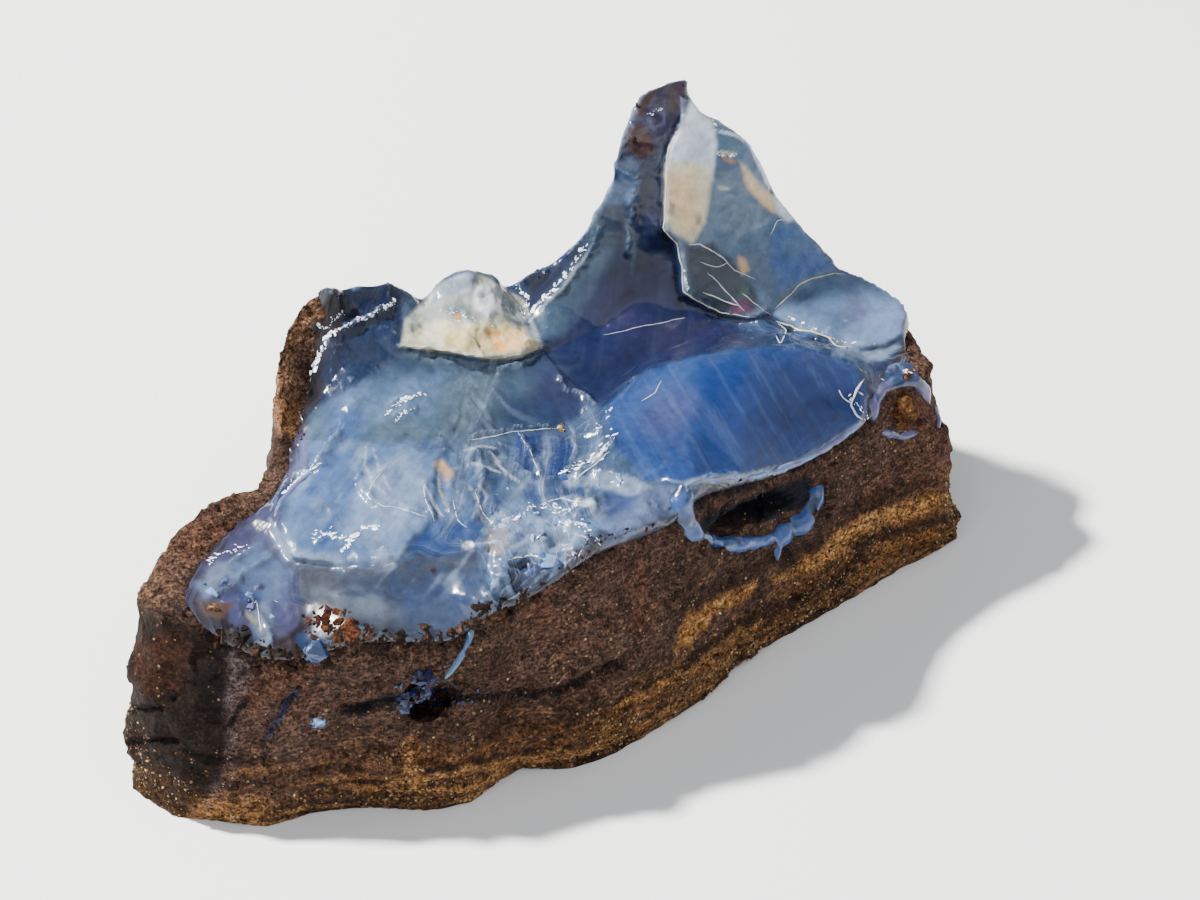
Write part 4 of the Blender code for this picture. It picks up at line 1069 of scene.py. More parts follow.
# Painted shade: the left end is darkened, and the rest of the front is lifted.
LEFT_END = ((129, 604), (225, 640), (228, 760), (180, 825), (120, 800), (115, 700))
brown = brown * (1.62 - 1.02 * zone(stone_sheet, LEFT_END, 8, 4) * stone_facing)[:, None]
keep_paint(stone, brown)
sand = 0.05 + 0.6 * low * ease(-0.6, 0.6, clouds(sc, 4 * MM, 109, 3)) + 0.25 * lowest
on_band = stroke(stone_sheet, ((962, 496), (905, 508), (860, 528), (820, 562), (775, 580)), 20, None, 5)
sprinkled = zone(stone_sheet, ((560, 600), (700, 560), (720, 590), (640, 640), (560, 690), (520, 660)), 30,
                 10)
sprinkled = sprinkled + zone(stone_sheet, ((850, 440), (930, 425), (940, 470), (880, 480), (840, 470)), 16,
                             8)
sand = sand + 0.16 * sprinkled
sand = sand + 0.4 * (on_band + zone(stone_sheet, ((385, 735), (425, 735), (432, 806), (390, 806)), 10, 8))
keep_paint(stone, np.stack([sand, sand, sand], 1), "stone_marks")
print("ironstone tints", np.round(brown.mean(0), 3))

# %% [markdown]
# ## Two finishes
# The opal is a clear, glossy stone that glows a little where light sinks in.  Its milky threads are a
# noise drawn out along the flow map.  The ironstone is matt, and its sand grains catch the light one
# by one.

# %% Node helpers
def new_material(name):
    mat = bpy.data.materials.new(name)
    mat.use_nodes = True
    return mat, mat.node_tree, mat.node_tree.nodes["Principled BSDF"]


def add_node(tree, kind, **settings):
    """A node; each setting is one of its inputs or, failing that, a property."""
    node = tree.nodes.new(kind)
    for key, value in settings.items():
        socket = node.inputs.get(key.replace("_", " "))
        if socket is not None:
            socket.default_value = value
        else:
            setattr(node, key, value)
    return node


def feed(tree, source, target):
    """Join a socket, or give a plain number to it."""
    if isinstance(source, (int, float)):
        target.default_value = source
    else:
        tree.links.new(source, target)


def maths(tree, operation, first, second=0.0, clamp=False):
    node = add_node(tree, "ShaderNodeMath", operation=operation, use_clamp=clamp)
    feed(tree, first, node.inputs[0])
    feed(tree, second, node.inputs[1])
    return node.outputs[0]


def spread(tree, value, low, high, new_low=0.0, new_high=1.0):
    node = add_node(tree, "ShaderNodeMapRange", From_Min=low, From_Max=high, To_Min=new_low,
                    To_Max=new_high)
    feed(tree, value, node.inputs["Value"])
    return node.outputs["Result"]


def mix_colour(tree, amount, below, above, blend="MIX"):
    node = add_node(tree, "ShaderNodeMix", data_type="RGBA", blend_type=blend)
    feed(tree, amount, node.inputs[0])
    for source, target in ((below, node.inputs[6]), (above, node.inputs[7])):
        if isinstance(source, bpy.types.NodeSocket):
            tree.links.new(source, target)
        else:
            target.default_value = (*source, 1.0)
    return node.outputs[2]


def ridged(tree, vector, scale, detail=3.0, warp=0.4):
    """Thin bright threads: 1 along the middle level of a noise, falling off on both sides."""
    noise = add_node(tree, "ShaderNodeTexNoise", Scale=scale, Detail=detail, Distortion=warp)
    tree.links.new(vector, noise.inputs["Vector"])
    off = maths(tree, "ABSOLUTE", maths(tree, "SUBTRACT", noise.outputs["Fac"], 0.5))
    return maths(tree, "SUBTRACT", 1.0, off)


def soft_noise(tree, vector, scale, detail=4.0, roughness=0.6):
    noise = add_node(tree, "ShaderNodeTexNoise", Scale=scale, Detail=detail, Roughness=roughness)
    tree.links.new(vector, noise.inputs["Vector"])
    return noise.outputs["Fac"]


def bumps(tree, shader, layers):
    """Stack bump layers: (height, strength, distance in metres)."""
    normal = None
    for height, strength, distance in layers:
        bump = add_node(tree, "ShaderNodeBump", Distance=distance)
        feed(tree, strength, bump.inputs["Strength"])
        tree.links.new(height, bump.inputs["Height"])
        if normal is not None:
            tree.links.new(normal, bump.inputs["Normal"])
        normal = bump.outputs["Normal"]
    tree.links.new(normal, shader.inputs["Normal"])


def place_in_stone(tree):
    """Object coordinates through a Mapping node."""
    here = add_node(tree, "ShaderNodeTexCoord")
    mapped = add_node(tree, "ShaderNodeMapping")
    tree.links.new(here.outputs["Object"], mapped.inputs["Vector"])
    return mapped.outputs["Vector"]


def kept(tree, name):
    return add_node(tree, "ShaderNodeVertexColor", layer_name=name).outputs["Color"]


# %% [markdown]
# The opal's finish multiplies its tint by clouds and by small shards where it is crushed, adds
# milky veils and fibres along the flow map, and gets a thin clear coat.

# %% Opal finish
def opal_finish(name, glow):
    mat, tree, shader = new_material(name)
    shader.inputs["Roughness"].default_value = 0.2
    shader.inputs["IOR"].default_value = 1.45
    shader.inputs["Specular IOR Level"].default_value = 0.35
    shader.inputs["Coat Weight"].default_value = 0.15
    shader.inputs["Coat Roughness"].default_value = 0.05
    shader.inputs["Subsurface Weight"].default_value = glow
    shader.inputs["Subsurface Radius"].default_value = (0.5, 0.7, 1.0)
    shader.inputs["Subsurface Scale"].default_value = 0.6 * MM
    stone_place = place_in_stone(tree)
    marks = add_node(tree, "ShaderNodeSeparateColor")
    tree.links.new(kept(tree, "stone_marks"), marks.inputs["Color"])
    flow = add_node(tree, "ShaderNodeUVMap", uv_map="flow")
    drawn_out = add_node(tree, "ShaderNodeMapping")
    drawn_out.inputs["Scale"].default_value = (10.0, 0.9, 1.0)
    tree.links.new(flow.outputs["UV"], drawn_out.inputs["Vector"])
    lie = drawn_out.outputs["Vector"]
    tree.links.new(marks.outputs[2], shader.inputs["Transmission Weight"])
    bent = add_node(tree, "ShaderNodeTexNoise", Scale=500.0, Detail=3.0)
    tree.links.new(stone_place, bent.inputs["Vector"])
    drift = add_node(tree, "ShaderNodeVectorMath", operation="SCALE")
    drift.inputs["Scale"].default_value = 1.6 * MM
    tree.links.new(bent.outputs["Color"], drift.inputs[0])
    shard_place = add_node(tree, "ShaderNodeVectorMath", operation="ADD")
    tree.links.new(stone_place, shard_place.inputs[0])
    tree.links.new(drift.outputs["Vector"], shard_place.inputs[1])
    shards = add_node(tree, "ShaderNodeTexVoronoi", Scale=1150.0)
    tree.links.new(shard_place.outputs["Vector"], shards.inputs["Vector"])
    tone = add_node(tree, "ShaderNodeSeparateColor")
    tree.links.new(shards.outputs["Color"], tone.inputs["Color"])
    veil = spread(tree, soft_noise(tree, lie, 0.5, 5.0, 0.65), 0.48, 0.72)
    crushed = spread(tree, marks.outputs[0], 0.3, 0.8)
    fibre = spread(tree, ridged(tree, lie, 0.9, 3.0, 0.3), 0.982, 1.0)
    cloud = soft_noise(tree, stone_place, 1500.0, 6.0, 0.65)
    tinted = mix_colour(tree, 1.0, kept(tree, "stone_tint"), spread(tree, cloud, 0.3, 0.7, 0.78, 1.22),
                        "MULTIPLY")
    chipped = mix_colour(tree, marks.outputs[0], tinted, spread(tree, tone.outputs[0], 0.0, 1.0, 0.55, 1.4),
                         "MULTIPLY")
    milk = tuple(float(c) for c in PALETTE["milk"])
    frost = tuple(float(c) for c in PALETTE["frost"])
    veiled = mix_colour(tree, maths(tree, "MULTIPLY", maths(tree, "MULTIPLY", veil, marks.outputs[0]), 0.5),
                        chipped, milk)
    lines = maths(tree, "MULTIPLY", maths(tree, "MULTIPLY", fibre, crushed),
                  spread(tree, veil, 0.0, 0.6, 0.1, 0.8))
    threaded = mix_colour(tree, lines, veiled, frost)
    tree.links.new(threaded, shader.inputs["Base Color"])
    ripple = soft_noise(tree, lie, 3.0, 3.0, 0.6)
    chips = add_node(tree, "ShaderNodeTexVoronoi", Scale=1400.0)
    tree.links.new(stone_place, chips.inputs["Vector"])
    bumps(tree, shader, (
        (ripple, maths(tree, "MULTIPLY", marks.outputs[1], 0.5), 0.00012),
        (chips.outputs["Distance"], maths(tree, "MULTIPLY", marks.outputs[1], 0.35), 0.00025),
        (tone.outputs[1], maths(tree, "MULTIPLY", marks.outputs[0], 0.4), 0.0001),
        (cloud, maths(tree, "MULTIPLY", marks.outputs[1], 0.3), 0.00008),
    ))
    return mat


blue = opal_finish("blue_opal_stone", 0.2)
opal.data.materials.append(blue)


# %% [markdown]
# The ironstone's finish multiplies its tint by grain, mottle, pits and pressed leaves, and picks
# single pale grains where sand was kept.

# %% Ironstone finish
def ironstone_finish(name):
    mat, tree, shader = new_material(name)
    shader.inputs["Roughness"].default_value = 0.8
    shader.inputs["Specular IOR Level"].default_value = 0.12
    stone_place = place_in_stone(tree)
    marks = add_node(tree, "ShaderNodeSeparateColor")
    tree.links.new(kept(tree, "stone_marks"), marks.inputs["Color"])
    grain = soft_noise(tree, stone_place, 5200.0, 5.0, 0.75)
    mottle = soft_noise(tree, stone_place, 1300.0, 5.0, 0.6)
    pressed = add_node(tree, "ShaderNodeMapping")
    pressed.inputs["Scale"].default_value = (1.0, 1.0, 3.0)
    tree.links.new(stone_place, pressed.inputs["Vector"])
    leaves = soft_noise(tree, pressed.outputs["Vector"], 1900.0, 4.0, 0.65)
    pits = add_node(tree, "ShaderNodeTexVoronoi", Scale=2600.0)
    tree.links.new(stone_place, pits.inputs["Vector"])
    pit = add_node(tree, "ShaderNodeSeparateColor")
    tree.links.new(pits.outputs["Color"], pit.inputs["Color"])
    dark = spread(tree, pit.outputs[0], 0.0, 0.35, 0.45, 1.0)
    shade = maths(tree, "MULTIPLY", spread(tree, grain, 0.38, 0.62, 0.15, 2.1),
                  spread(tree, mottle, 0.3, 0.7, 0.65, 1.35))
    shade = maths(tree, "MULTIPLY", shade, dark)
    shade = maths(tree, "MULTIPLY", shade, spread(tree, leaves, 0.38, 0.62, 0.55, 1.5))
    tinted = mix_colour(tree, 1.0, kept(tree, "stone_tint"), shade, "MULTIPLY")
    sand = add_node(tree, "ShaderNodeTexVoronoi", Scale=4600.0)
    tree.links.new(stone_place, sand.inputs["Vector"])
    pick = add_node(tree, "ShaderNodeSeparateColor")
    tree.links.new(sand.outputs["Color"], pick.inputs["Color"])
    bunch = spread(tree, soft_noise(tree, stone_place, 700.0, 3.0, 0.6), 0.42, 0.62, 0.2, 1.8)
    few = maths(tree, "LESS_THAN", maths(tree, "SUBTRACT", 1.0, pick.outputs[0]),
                maths(tree, "MULTIPLY", marks.outputs[0], bunch))
    core = maths(tree, "LESS_THAN", sand.outputs["Distance"],
                 spread(tree, pick.outputs[1], 0.0, 1.0, 0.2, 0.48))
    pale_grain = tuple(float(c) for c in PALETTE["sand"])
    gold_grain = tuple(float(c) for c in PALETTE["ochre"])
    grain_tint = mix_colour(tree, spread(tree, pick.outputs[2], 0.3, 1.0), gold_grain, pale_grain)
    sandy = mix_colour(tree, maths(tree, "MULTIPLY", maths(tree, "MULTIPLY", few, core), 0.7), tinted,
                       grain_tint)
    tree.links.new(sandy, shader.inputs["Base Color"])
    bumps(tree, shader, (
        (mottle, 0.6, 0.0004),
        (grain, 0.8, 0.0002),
        (leaves, 0.5, 0.0002),
        (pit.outputs[0], 0.35, 0.0001),
    ))
    return mat


rock = ironstone_finish("banded_ironstone")
stone.data.materials.append(rock)
for piece, corner in ((opal, 50), (stone, 180)):
    only(piece)
    bpy.ops.object.shade_smooth_by_angle(angle=math.radians(corner))
print("finishes:", blue.name, rock.name)

# %% [markdown]
# ## Small pieces laid on the stone
# Flake rims, a nodule, crumbs and healed cracks all sit on one of the two stones.  Each is placed by
# its square on the sheet: a straight line from the camera through that square meets the stone at the
# spot where the piece belongs.

# %% Spots on the stone
both = bmesh.new()
both.from_mesh(opal.data)
both.from_mesh(stone.data)
stones_tree = BVHTree.FromBMesh(both)
both.free()


def spot(across, down, tree=stones_tree):
    """Place and outward normal where the line through a square meets the stone."""
    way = -BACK * REACH + RIGHT * (across - SHEET_W / 2) * SQUARE + UP * (SHEET_H / 2 - down) * SQUARE
    hit, normal, _, _ = tree.ray_cast(Vector(EYE), Vector(way).normalized())
    return (None, None) if hit is None else (np.array(hit), np.array(normal))


def along_line(line, step=3.0):
    """Points every few squares along a line of squares."""
    line = np.asarray(line, float)
    size = np.linalg.norm(np.diff(line, axis=0), axis=1)
    start = np.concatenate([[0], np.cumsum(size)])
    goal = np.linspace(0, start[-1], max(int(start[-1] / step), 2))
    return np.stack([np.interp(goal, start, line[:, k]) for k in (0, 1)], 1)


def dress(piece, colours, threads=0.3, glints=0.5):
    """Give a piece the tints, marks and flow map that both finishes read."""
    co = read_points(piece)
    keep_paint(piece, colours)
    marks = np.zeros((len(co), 3))
    marks[:] = (threads, glints, 0.0)
    keep_paint(piece, marks, "stone_marks")
    keep_map(piece, "flow", flow_map(on_sheet(co)))


extras = []
print("the spot at the middle square is", np.round(spot(600, 450)[0] / MM, 1), "mm")

# %% [markdown]
# ## Rims, healed cracks and thick lips
# A healed crack is a hair-thin wall of white silica that stands a little proud, and the lip of a flake
# catches light the same way.  Each is a thin rod along its line, half sunk in the stone.

# %% Rods along lines
def rods(name, lines, radius, sink=0.4, wander=1.2, seed=1):
    """One closed piece of tapering rods; each line is (thickness factor, points)."""
    curve = bpy.data.curves.new(name, "CURVE")
    curve.dimensions = "3D"
    curve.bevel_depth = radius
    curve.bevel_resolution = 1
    curve.use_fill_caps = True
    for k, (factor, line) in enumerate(lines):
        squares = along_line(line)
        squares = squares + wander * np.stack([clouds(squares, 14, seed + k),
                                               clouds(squares, 14, seed + k + 40)], 1)
        found = [spot(*s) for s in squares]
        found = [(p, n) for p, n in found if p is not None]
        spline = curve.splines.new("POLY")
        spline.points.add(len(found) - 1)
        for i, (p, n) in enumerate(found):
            t = i / max(len(found) - 1, 1)
            taper = min(1.0, 0.25 + 4 * t, 0.25 + 4 * (1 - t))
            beat = 0.75 + 0.5 * smooth_noise(np.array([[i * 0.35, k * 7.1]]), seed)[0]
            spline.points[i].co = (*(p - n * radius * factor * sink), 1)
            spline.points[i].radius = factor * taper * beat
    piece = bpy.data.objects.new(name, curve)
    bpy.context.scene.collection.objects.link(piece)
    only(piece)
    bpy.ops.object.convert(target="MESH")
    piece = bpy.context.object
    bpy.ops.object.shade_smooth()
    return piece


FLAKE_RIM = ((681, 100), (682, 124), (669, 149), (666, 176), (666, 210), (664, 229), (677, 243), (683, 270),
             (683, 293), (700, 303), (718, 312), (749, 318), (768, 314))
LOW_RIM = ((772, 321), (803, 331), (828, 336), (836, 345), (859, 349))
RIM_LINES = ((1.0, FLAKE_RIM), (1.0, LOW_RIM), (0.8, ((770, 314), (800, 284), (835, 273), (850, 274))),
             (0.7, ((401, 347), (449, 351), (490, 358), (519, 355), (543, 347))),
             (0.6, ((700, 172), (690, 200), (696, 232), (684, 244))))
rims = rods("flake_rims", RIM_LINES, 0.065 * MM, seed=11)
dress(rims, np.tile(PALETTE["cream"] * 1.2, (len(rims.data.vertices), 1)), 0.2, 0.5)
CRACK_LINES = (
    (0.9, ((684, 246), (700, 243), (716, 252), (728, 262))), (0.7, ((700, 262), (716, 268), (730, 262))),
    (0.9, ((705, 270), (724, 290), (748, 312))), (0.8, ((700, 292), (722, 300), (745, 308))),
    (0.6, ((716, 252), (734, 270), (758, 280))), (0.7, ((740, 292), (756, 304), (772, 315))),
    (0.4, ((600, 335), (640, 327), (690, 316))), (0.7, ((770, 235), (778, 220), (796, 220))),
    (0.9, ((776, 322), (786, 330), (780, 344), (774, 334))),
    (1.6, ((866, 376), (857, 390), (851, 404), (857, 415), (866, 422))),
    (1.2, ((851, 404), (842, 397), (838, 388))),
    (1.2, ((857, 390), (866, 396))), (0.9, ((862, 408), (868, 414))),
    (0.6, ((465, 440), (515, 432), (560, 428))), (0.5, ((515, 430), (530, 450), (541, 480))),
    (0.9, ((572, 482), (590, 468), (611, 450))), (0.6, ((606, 452), (616, 436))),
    (0.6, ((640, 402), (655, 392), (662, 380))), (0.6, ((366, 502), (372, 484), (386, 470))),
    (0.6, ((370, 500), (383, 506), (400, 508), (430, 518))), (0.5, ((424, 480), (426, 500), (434, 522))),
    (0.5, ((452, 500), (458, 520), (470, 530))), (0.5, ((474, 490), (482, 512), (496, 528))),
    (0.8, ((505, 560), (530, 556), (555, 562))), (0.7, ((540, 505), (560, 498), (590, 503))),
    (0.8, ((285, 490), (300, 478), (322, 462))), (0.8, ((248, 612), (256, 600), (262, 632))))
cracks = rods("healed_cracks", CRACK_LINES, 0.05 * MM, seed=23)
dress(cracks, np.tile(PALETTE["frost"] * 0.85, (len(cracks.data.vertices), 1)), 0.0, 0.8)
print("rods:", triangles(rims), triangles(cracks), "triangles")

# %% [markdown]
# ## Opal that oozed into cracks of the ironstone
# Beside the long slit and round the nodule the opal filled small cracks and then swelled out of them,
# as smooth blobs.  Each is a string of balls melted together by a voxel remesh.

# %% Oozed opal
def oozed(name, beads, grid=0.09 * MM):
    """Closed blobby piece melted together from beads, each (centre, radius)."""
    bpy.ops.object.select_all(action="DESELECT")
    balls = []
    for place, size in beads:
        bpy.ops.mesh.primitive_ico_sphere_add(subdivisions=3, radius=size, location=place)
        balls.append(bpy.context.object)
    for ball in balls:
        ball.select_set(True)
    bpy.ops.object.join()
    piece = bpy.context.object
    piece.name = name
    bpy.ops.object.transform_apply(location=True, rotation=True, scale=True)
    piece.data.remesh_voxel_size = grid
    bpy.ops.object.voxel_remesh()
    relax(piece, 10)
    co = read_points(piece)
    no = read_normals(piece)
    write_points(piece, co + no * (0.07 * MM * clouds(co, 0.9 * MM, 131, 2))[:, None])
    bpy.ops.object.shade_smooth()
    return piece


def beads_on(line, radius, sunk, step=0.16):
    """Beads every step mm on the straight runs between the spots of a line; radius and depth sunk in mm."""
    spots = [spot(*square) for square in line]
    corners = np.array([place - normal * sunk * MM for place, normal in spots])
    start = np.concatenate([[0], np.cumsum(np.linalg.norm(np.diff(corners, axis=0), axis=1))])
    goal = np.linspace(0, start[-1], max(int(start[-1] / (step * MM)), 2))
    places = np.stack([np.interp(goal, start, corners[:, k]) for k in range(3)], 1)
    swell = 0.85 + 0.3 * smooth_noise(places / (1.5 * MM), 5)
    ends = 0.6 + 0.4 * np.minimum(1, np.minimum(goal, start[-1] - goal) / (0.8 * MM))
    return [(place, radius * MM * s * e) for place, s, e in zip(places, swell, ends)]


SLIT_BEADS = (beads_on(((686, 488), (681, 504), (686, 520), (698, 534), (710, 539)), 0.74, 0.50)
              + beads_on(((704, 535), (718, 541), (740, 544), (760, 542), (778, 537)), 0.46, 0.22)
              + beads_on(((820, 487), (816, 503), (804, 517), (791, 528), (777, 541)), 0.85, 0.60)
              + beads_on(((780, 540), (777, 556)), 0.42, 0.24))
lining = oozed("slit_opal", SLIT_BEADS)
RING_BEADS = (beads_on(((874, 420), (874, 402), (884, 386), (898, 378), (914, 380), (926, 390), (930, 404)),
                       0.50, 0.3)
              + beads_on(((884, 382), (892, 370), (908, 366), (918, 372)), 0.42, 0.24)
              + beads_on(((882, 432), (900, 438), (918, 432)), 0.30, 0.2)
              + beads_on(((934, 400), (940, 420), (936, 440)), 0.26, 0.18))
ring = oozed("nodule_opal", RING_BEADS)
LIP_BEADS = (beads_on(((694, 481), (712, 478), (745, 478), (770, 474)), 0.20, 0.08)
             + beads_on(((770, 474), (800, 462), (829, 447), (846, 435), (864, 424)), 0.26, 0.1)
             + beads_on(((272, 524), (280, 502), (298, 482), (318, 466)), 0.22, 0.1))
lip = oozed("opal_lips", LIP_BEADS)
VEIN_BEADS = (beads_on(((474, 630), (466, 646)), 0.34,
                       0.16) + beads_on(((466, 646), (456, 664), (444, 680)), 0.26, 0.14))
vein = oozed("vein_opal", VEIN_BEADS)
for piece, first, second in ((lining, "sea", "slate"), (ring, "slate", "lilac"), (lip, "sky", "lilac"),
                             (vein, "sea", "mist")):
    co = read_points(piece)
    colours = lay(np.tile(PALETTE[first], (len(co), 1)), second, ease(-0.3, 0.6, clouds(co, 0.9 * MM, 133)))
    dress(piece, lay(colours, "milk", ease(0.3, 0.9, clouds(co, 0.6 * MM, 135)) * 0.3), 0.05, 0.25)
print("oozed opal:", triangles(lining), triangles(ring), triangles(lip), "triangles")

# %% [markdown]
# ## Crumbs, crystals and grains
# Broken bits lie where the stone crumbled: brown crumbs along the rim, dark crystals in the hollows,
# and quartz grains in the lower beds.  One angular chip is copied many times, each turned, stretched
# and dented its own way.

# %% Scattered chips
rng = np.random.default_rng(7)


def turned(count):
    """Random turns, as matrices."""
    q = rng.normal(size=(count, 4))
    q /= np.linalg.norm(q, axis=1)[:, None]
    w, x, y, z = q.T
    rows = (1 - 2 * (y * y + z * z), 2 * (x * y - z * w), 2 * (x * z + y * w),
            2 * (x * y + z * w), 1 - 2 * (x * x + z * z), 2 * (y * z - x * w),
            2 * (x * z - y * w), 2 * (y * z + x * w), 1 - 2 * (x * x + y * y))
    return np.stack(rows, 1).reshape(-1, 3, 3)


def scatter(name, places, sizes, colours, dent=0.25, low=(0.7, 0.7, 0.5), high=(1.2, 1.0, 0.9), turns=None):
    """One joined piece of angular chips, turned at random unless their turns are given."""
    bpy.ops.object.select_all(action="DESELECT")
    bpy.ops.mesh.primitive_ico_sphere_add(subdivisions=1, radius=1)
    seed_chip = bpy.context.object
    corners = read_points(seed_chip)
    faces = np.array([list(f.vertices) for f in seed_chip.data.polygons])
    bpy.data.objects.remove(seed_chip)
    count = len(places)
    shape = corners[None] * rng.uniform(1 - dent, 1 + dent, (count, len(corners), 1))
    shape = shape * rng.uniform(low, high, (count, 3))[:, None]
    turns = turned(count) if turns is None else np.asarray(turns)
    shape = np.einsum("nij,nkj->nki", turns, shape) * np.asarray(sizes)[:, None, None]
    points = (shape + np.asarray(places)[:, None]).reshape(-1, 3)
    offsets = np.arange(count)[:, None, None] * len(corners)
    mesh = bpy.data.meshes.new(name)
    mesh.from_pydata(points.tolist(), [], (faces[None] + offsets).reshape(-1, 3).tolist())
    piece = bpy.data.objects.new(name, mesh)
    bpy.context.scene.collection.objects.link(piece)
    dress(piece, np.repeat(np.asarray(colours), len(corners), axis=0), 0.0, 0.6)
    return piece


def heaps(table):
    """Spots, sizes and tints of chips heaped along lines: (names, count, width, size range in mm, line)."""
    places, sizes, colours = [], [], []
    for names, count, width, low, high, line in table:
        squares = along_line(line, 1.0)
        for _ in range(count):
            at = squares[rng.integers(len(squares))] + rng.normal(0, width / 2, 2)
            place, normal = spot(*at)
            if place is None:
                continue
            size = (low + (high - low) * rng.uniform() ** 2) * MM
            places.append(place - normal * size * 0.7)
            sizes.append(size)
            colours.append(PALETTE[names[rng.integers(len(names))]] * rng.uniform(0.7, 1.3))
    return places, sizes, colours



# %% [markdown]
# Each heap is a line with a count, a width and a range of sizes, so that crumbs gather where the
# rims broke and crystals where a hollow held them.

# %% Crumbs and crystals
BROWN_HEAPS = (
    (("cocoa", "bark", "umber"), 260, 13, 0.12, 0.75,
     ((215, 640), (270, 656), (310, 658), (361, 637), (404, 641))),
    (("cocoa", "umber", "cocoa"), 200, 12, 0.12, 0.7,
     ((400, 643), (440, 644), (472, 636), (484, 608), (520, 605))),
    (("cocoa", "umber"), 110, 5, 0.08, 0.3, ((520, 602), (560, 574), (591, 544), (635, 532), (680, 520))),
    (("cocoa", "umber"), 50, 4, 0.15, 0.35, ((700, 486), (745, 482), (790, 472), (829, 450), (866, 426))),
    (("tan", "peach"), 3, 4, 0.3, 0.45, ((557, 428), (563, 426))),
    (("umber", "maroon", "rust"), 34, 9, 0.15, 0.40, ((905, 352), (925, 352), (935, 372))),
    (("umber", "bark"), 30, 7, 0.12, 0.3, ((866, 424), (884, 430), (905, 440), (935, 430))),
    (("rust", "maroon", "umber"), 60, 13, 0.35, 0.9, ((308, 628), (326, 616), (344, 618), (336, 632))),
    (("tan",), 1, 0.1, 0.9, 1.0, ((211, 607), (212, 607))),
    (("cocoa", "bark"), 5, 8, 0.7, 1.1, ((240, 650), (270, 660), (300, 662), (350, 645))),
    (("umber", "bark", "rust"), 24, 10, 0.2, 0.5, ((215, 622), (240, 640), (280, 650))),
    (("umber", "bark"), 40, 6, 0.12, 0.3, ((176, 600), (192, 560), (218, 522), (262, 494))),
    (("umber", "bark"), 40, 6, 0.12, 0.3, ((300, 436), (305, 400), (312, 350), (330, 300))),
    (("rust", "umber"), 7, 5, 0.35, 0.6, ((628, 138), (640, 142), (642, 154))),
    (("rust", "umber", "bark"), 24, 4, 0.12, 0.3, ((636, 108), (640, 92), (660, 80), (686, 76))),
)
DARK_HEAPS = (
    (("navy", "ink", "indigo"), 110, 15, 0.15, 0.6, ((406, 702), (425, 688), (450, 698))),
    (("navy", "indigo", "slate"), 30, 12, 0.2, 0.55, ((412, 686), (432, 680), (446, 690))),
    (("navy", "ink"), 30, 7, 0.12, 0.3, ((462, 700), (486, 694), (510, 696))),
    (("sky", "milk"), 4, 2, 0.25, 0.4, ((316, 722), (322, 722))),
    (("ink", "slate", "maroon"), 26, 7, 0.12, 0.35, ((586, 534), (598, 540), (594, 550))),
    (("maroon", "ink"), 18, 5, 0.10, 0.24, ((566, 572), (582, 562), (594, 552))),
    (("ink", "slate"), 22, 6, 0.12, 0.4, ((515, 284), (528, 276), (542, 270))),
    (("sea", "slate"), 8, 9, 0.6, 1.2, ((304, 646), (322, 644))),
    (("sky", "lilac", "slate"), 14, 16, 0.25, 0.6, ((205, 585), (240, 600), (275, 600))),
    (("sky", "sea", "milk"), 26, 26, 0.30, 0.75, ((505, 525), (540, 520), (570, 530), (540, 560))),
    (("sky", "sea"), 10, 10, 0.20, 0.45, ((560, 480), (600, 470), (640, 490))),
)
crumbs = scatter("rim_crumbs", *heaps(BROWN_HEAPS), dent=0.35)
crystals = scatter("dark_crystals", *heaps(DARK_HEAPS), dent=0.3)

# %% [markdown]
# Grains sit on the ironstone's own vertices, more of them where more sand was kept.

# %% Sand grains
pick = rng.choice(len(sc), 9000, p=(sand ** 1.5) / (sand ** 1.5).sum())
pick = pick[loose[pick] > 0.5]
warm = np.array([PALETTE[k] for k in ("gold", "sand", "ochre", "tan", "bark")])[rng.integers(5,
                                                                                             size=len(pick))]
sizes = (0.035 + 0.09 * rng.uniform(0, 1, len(pick)) ** 2) * MM
grains = scatter("quartz_grains", read_points(stone)[pick], sizes, warm * 0.85)

# %% [markdown]
# Bright white chips laid flat on the crests are painted highlights: they stand for glints of light on the
# ridges.  They lie flat, along their line.

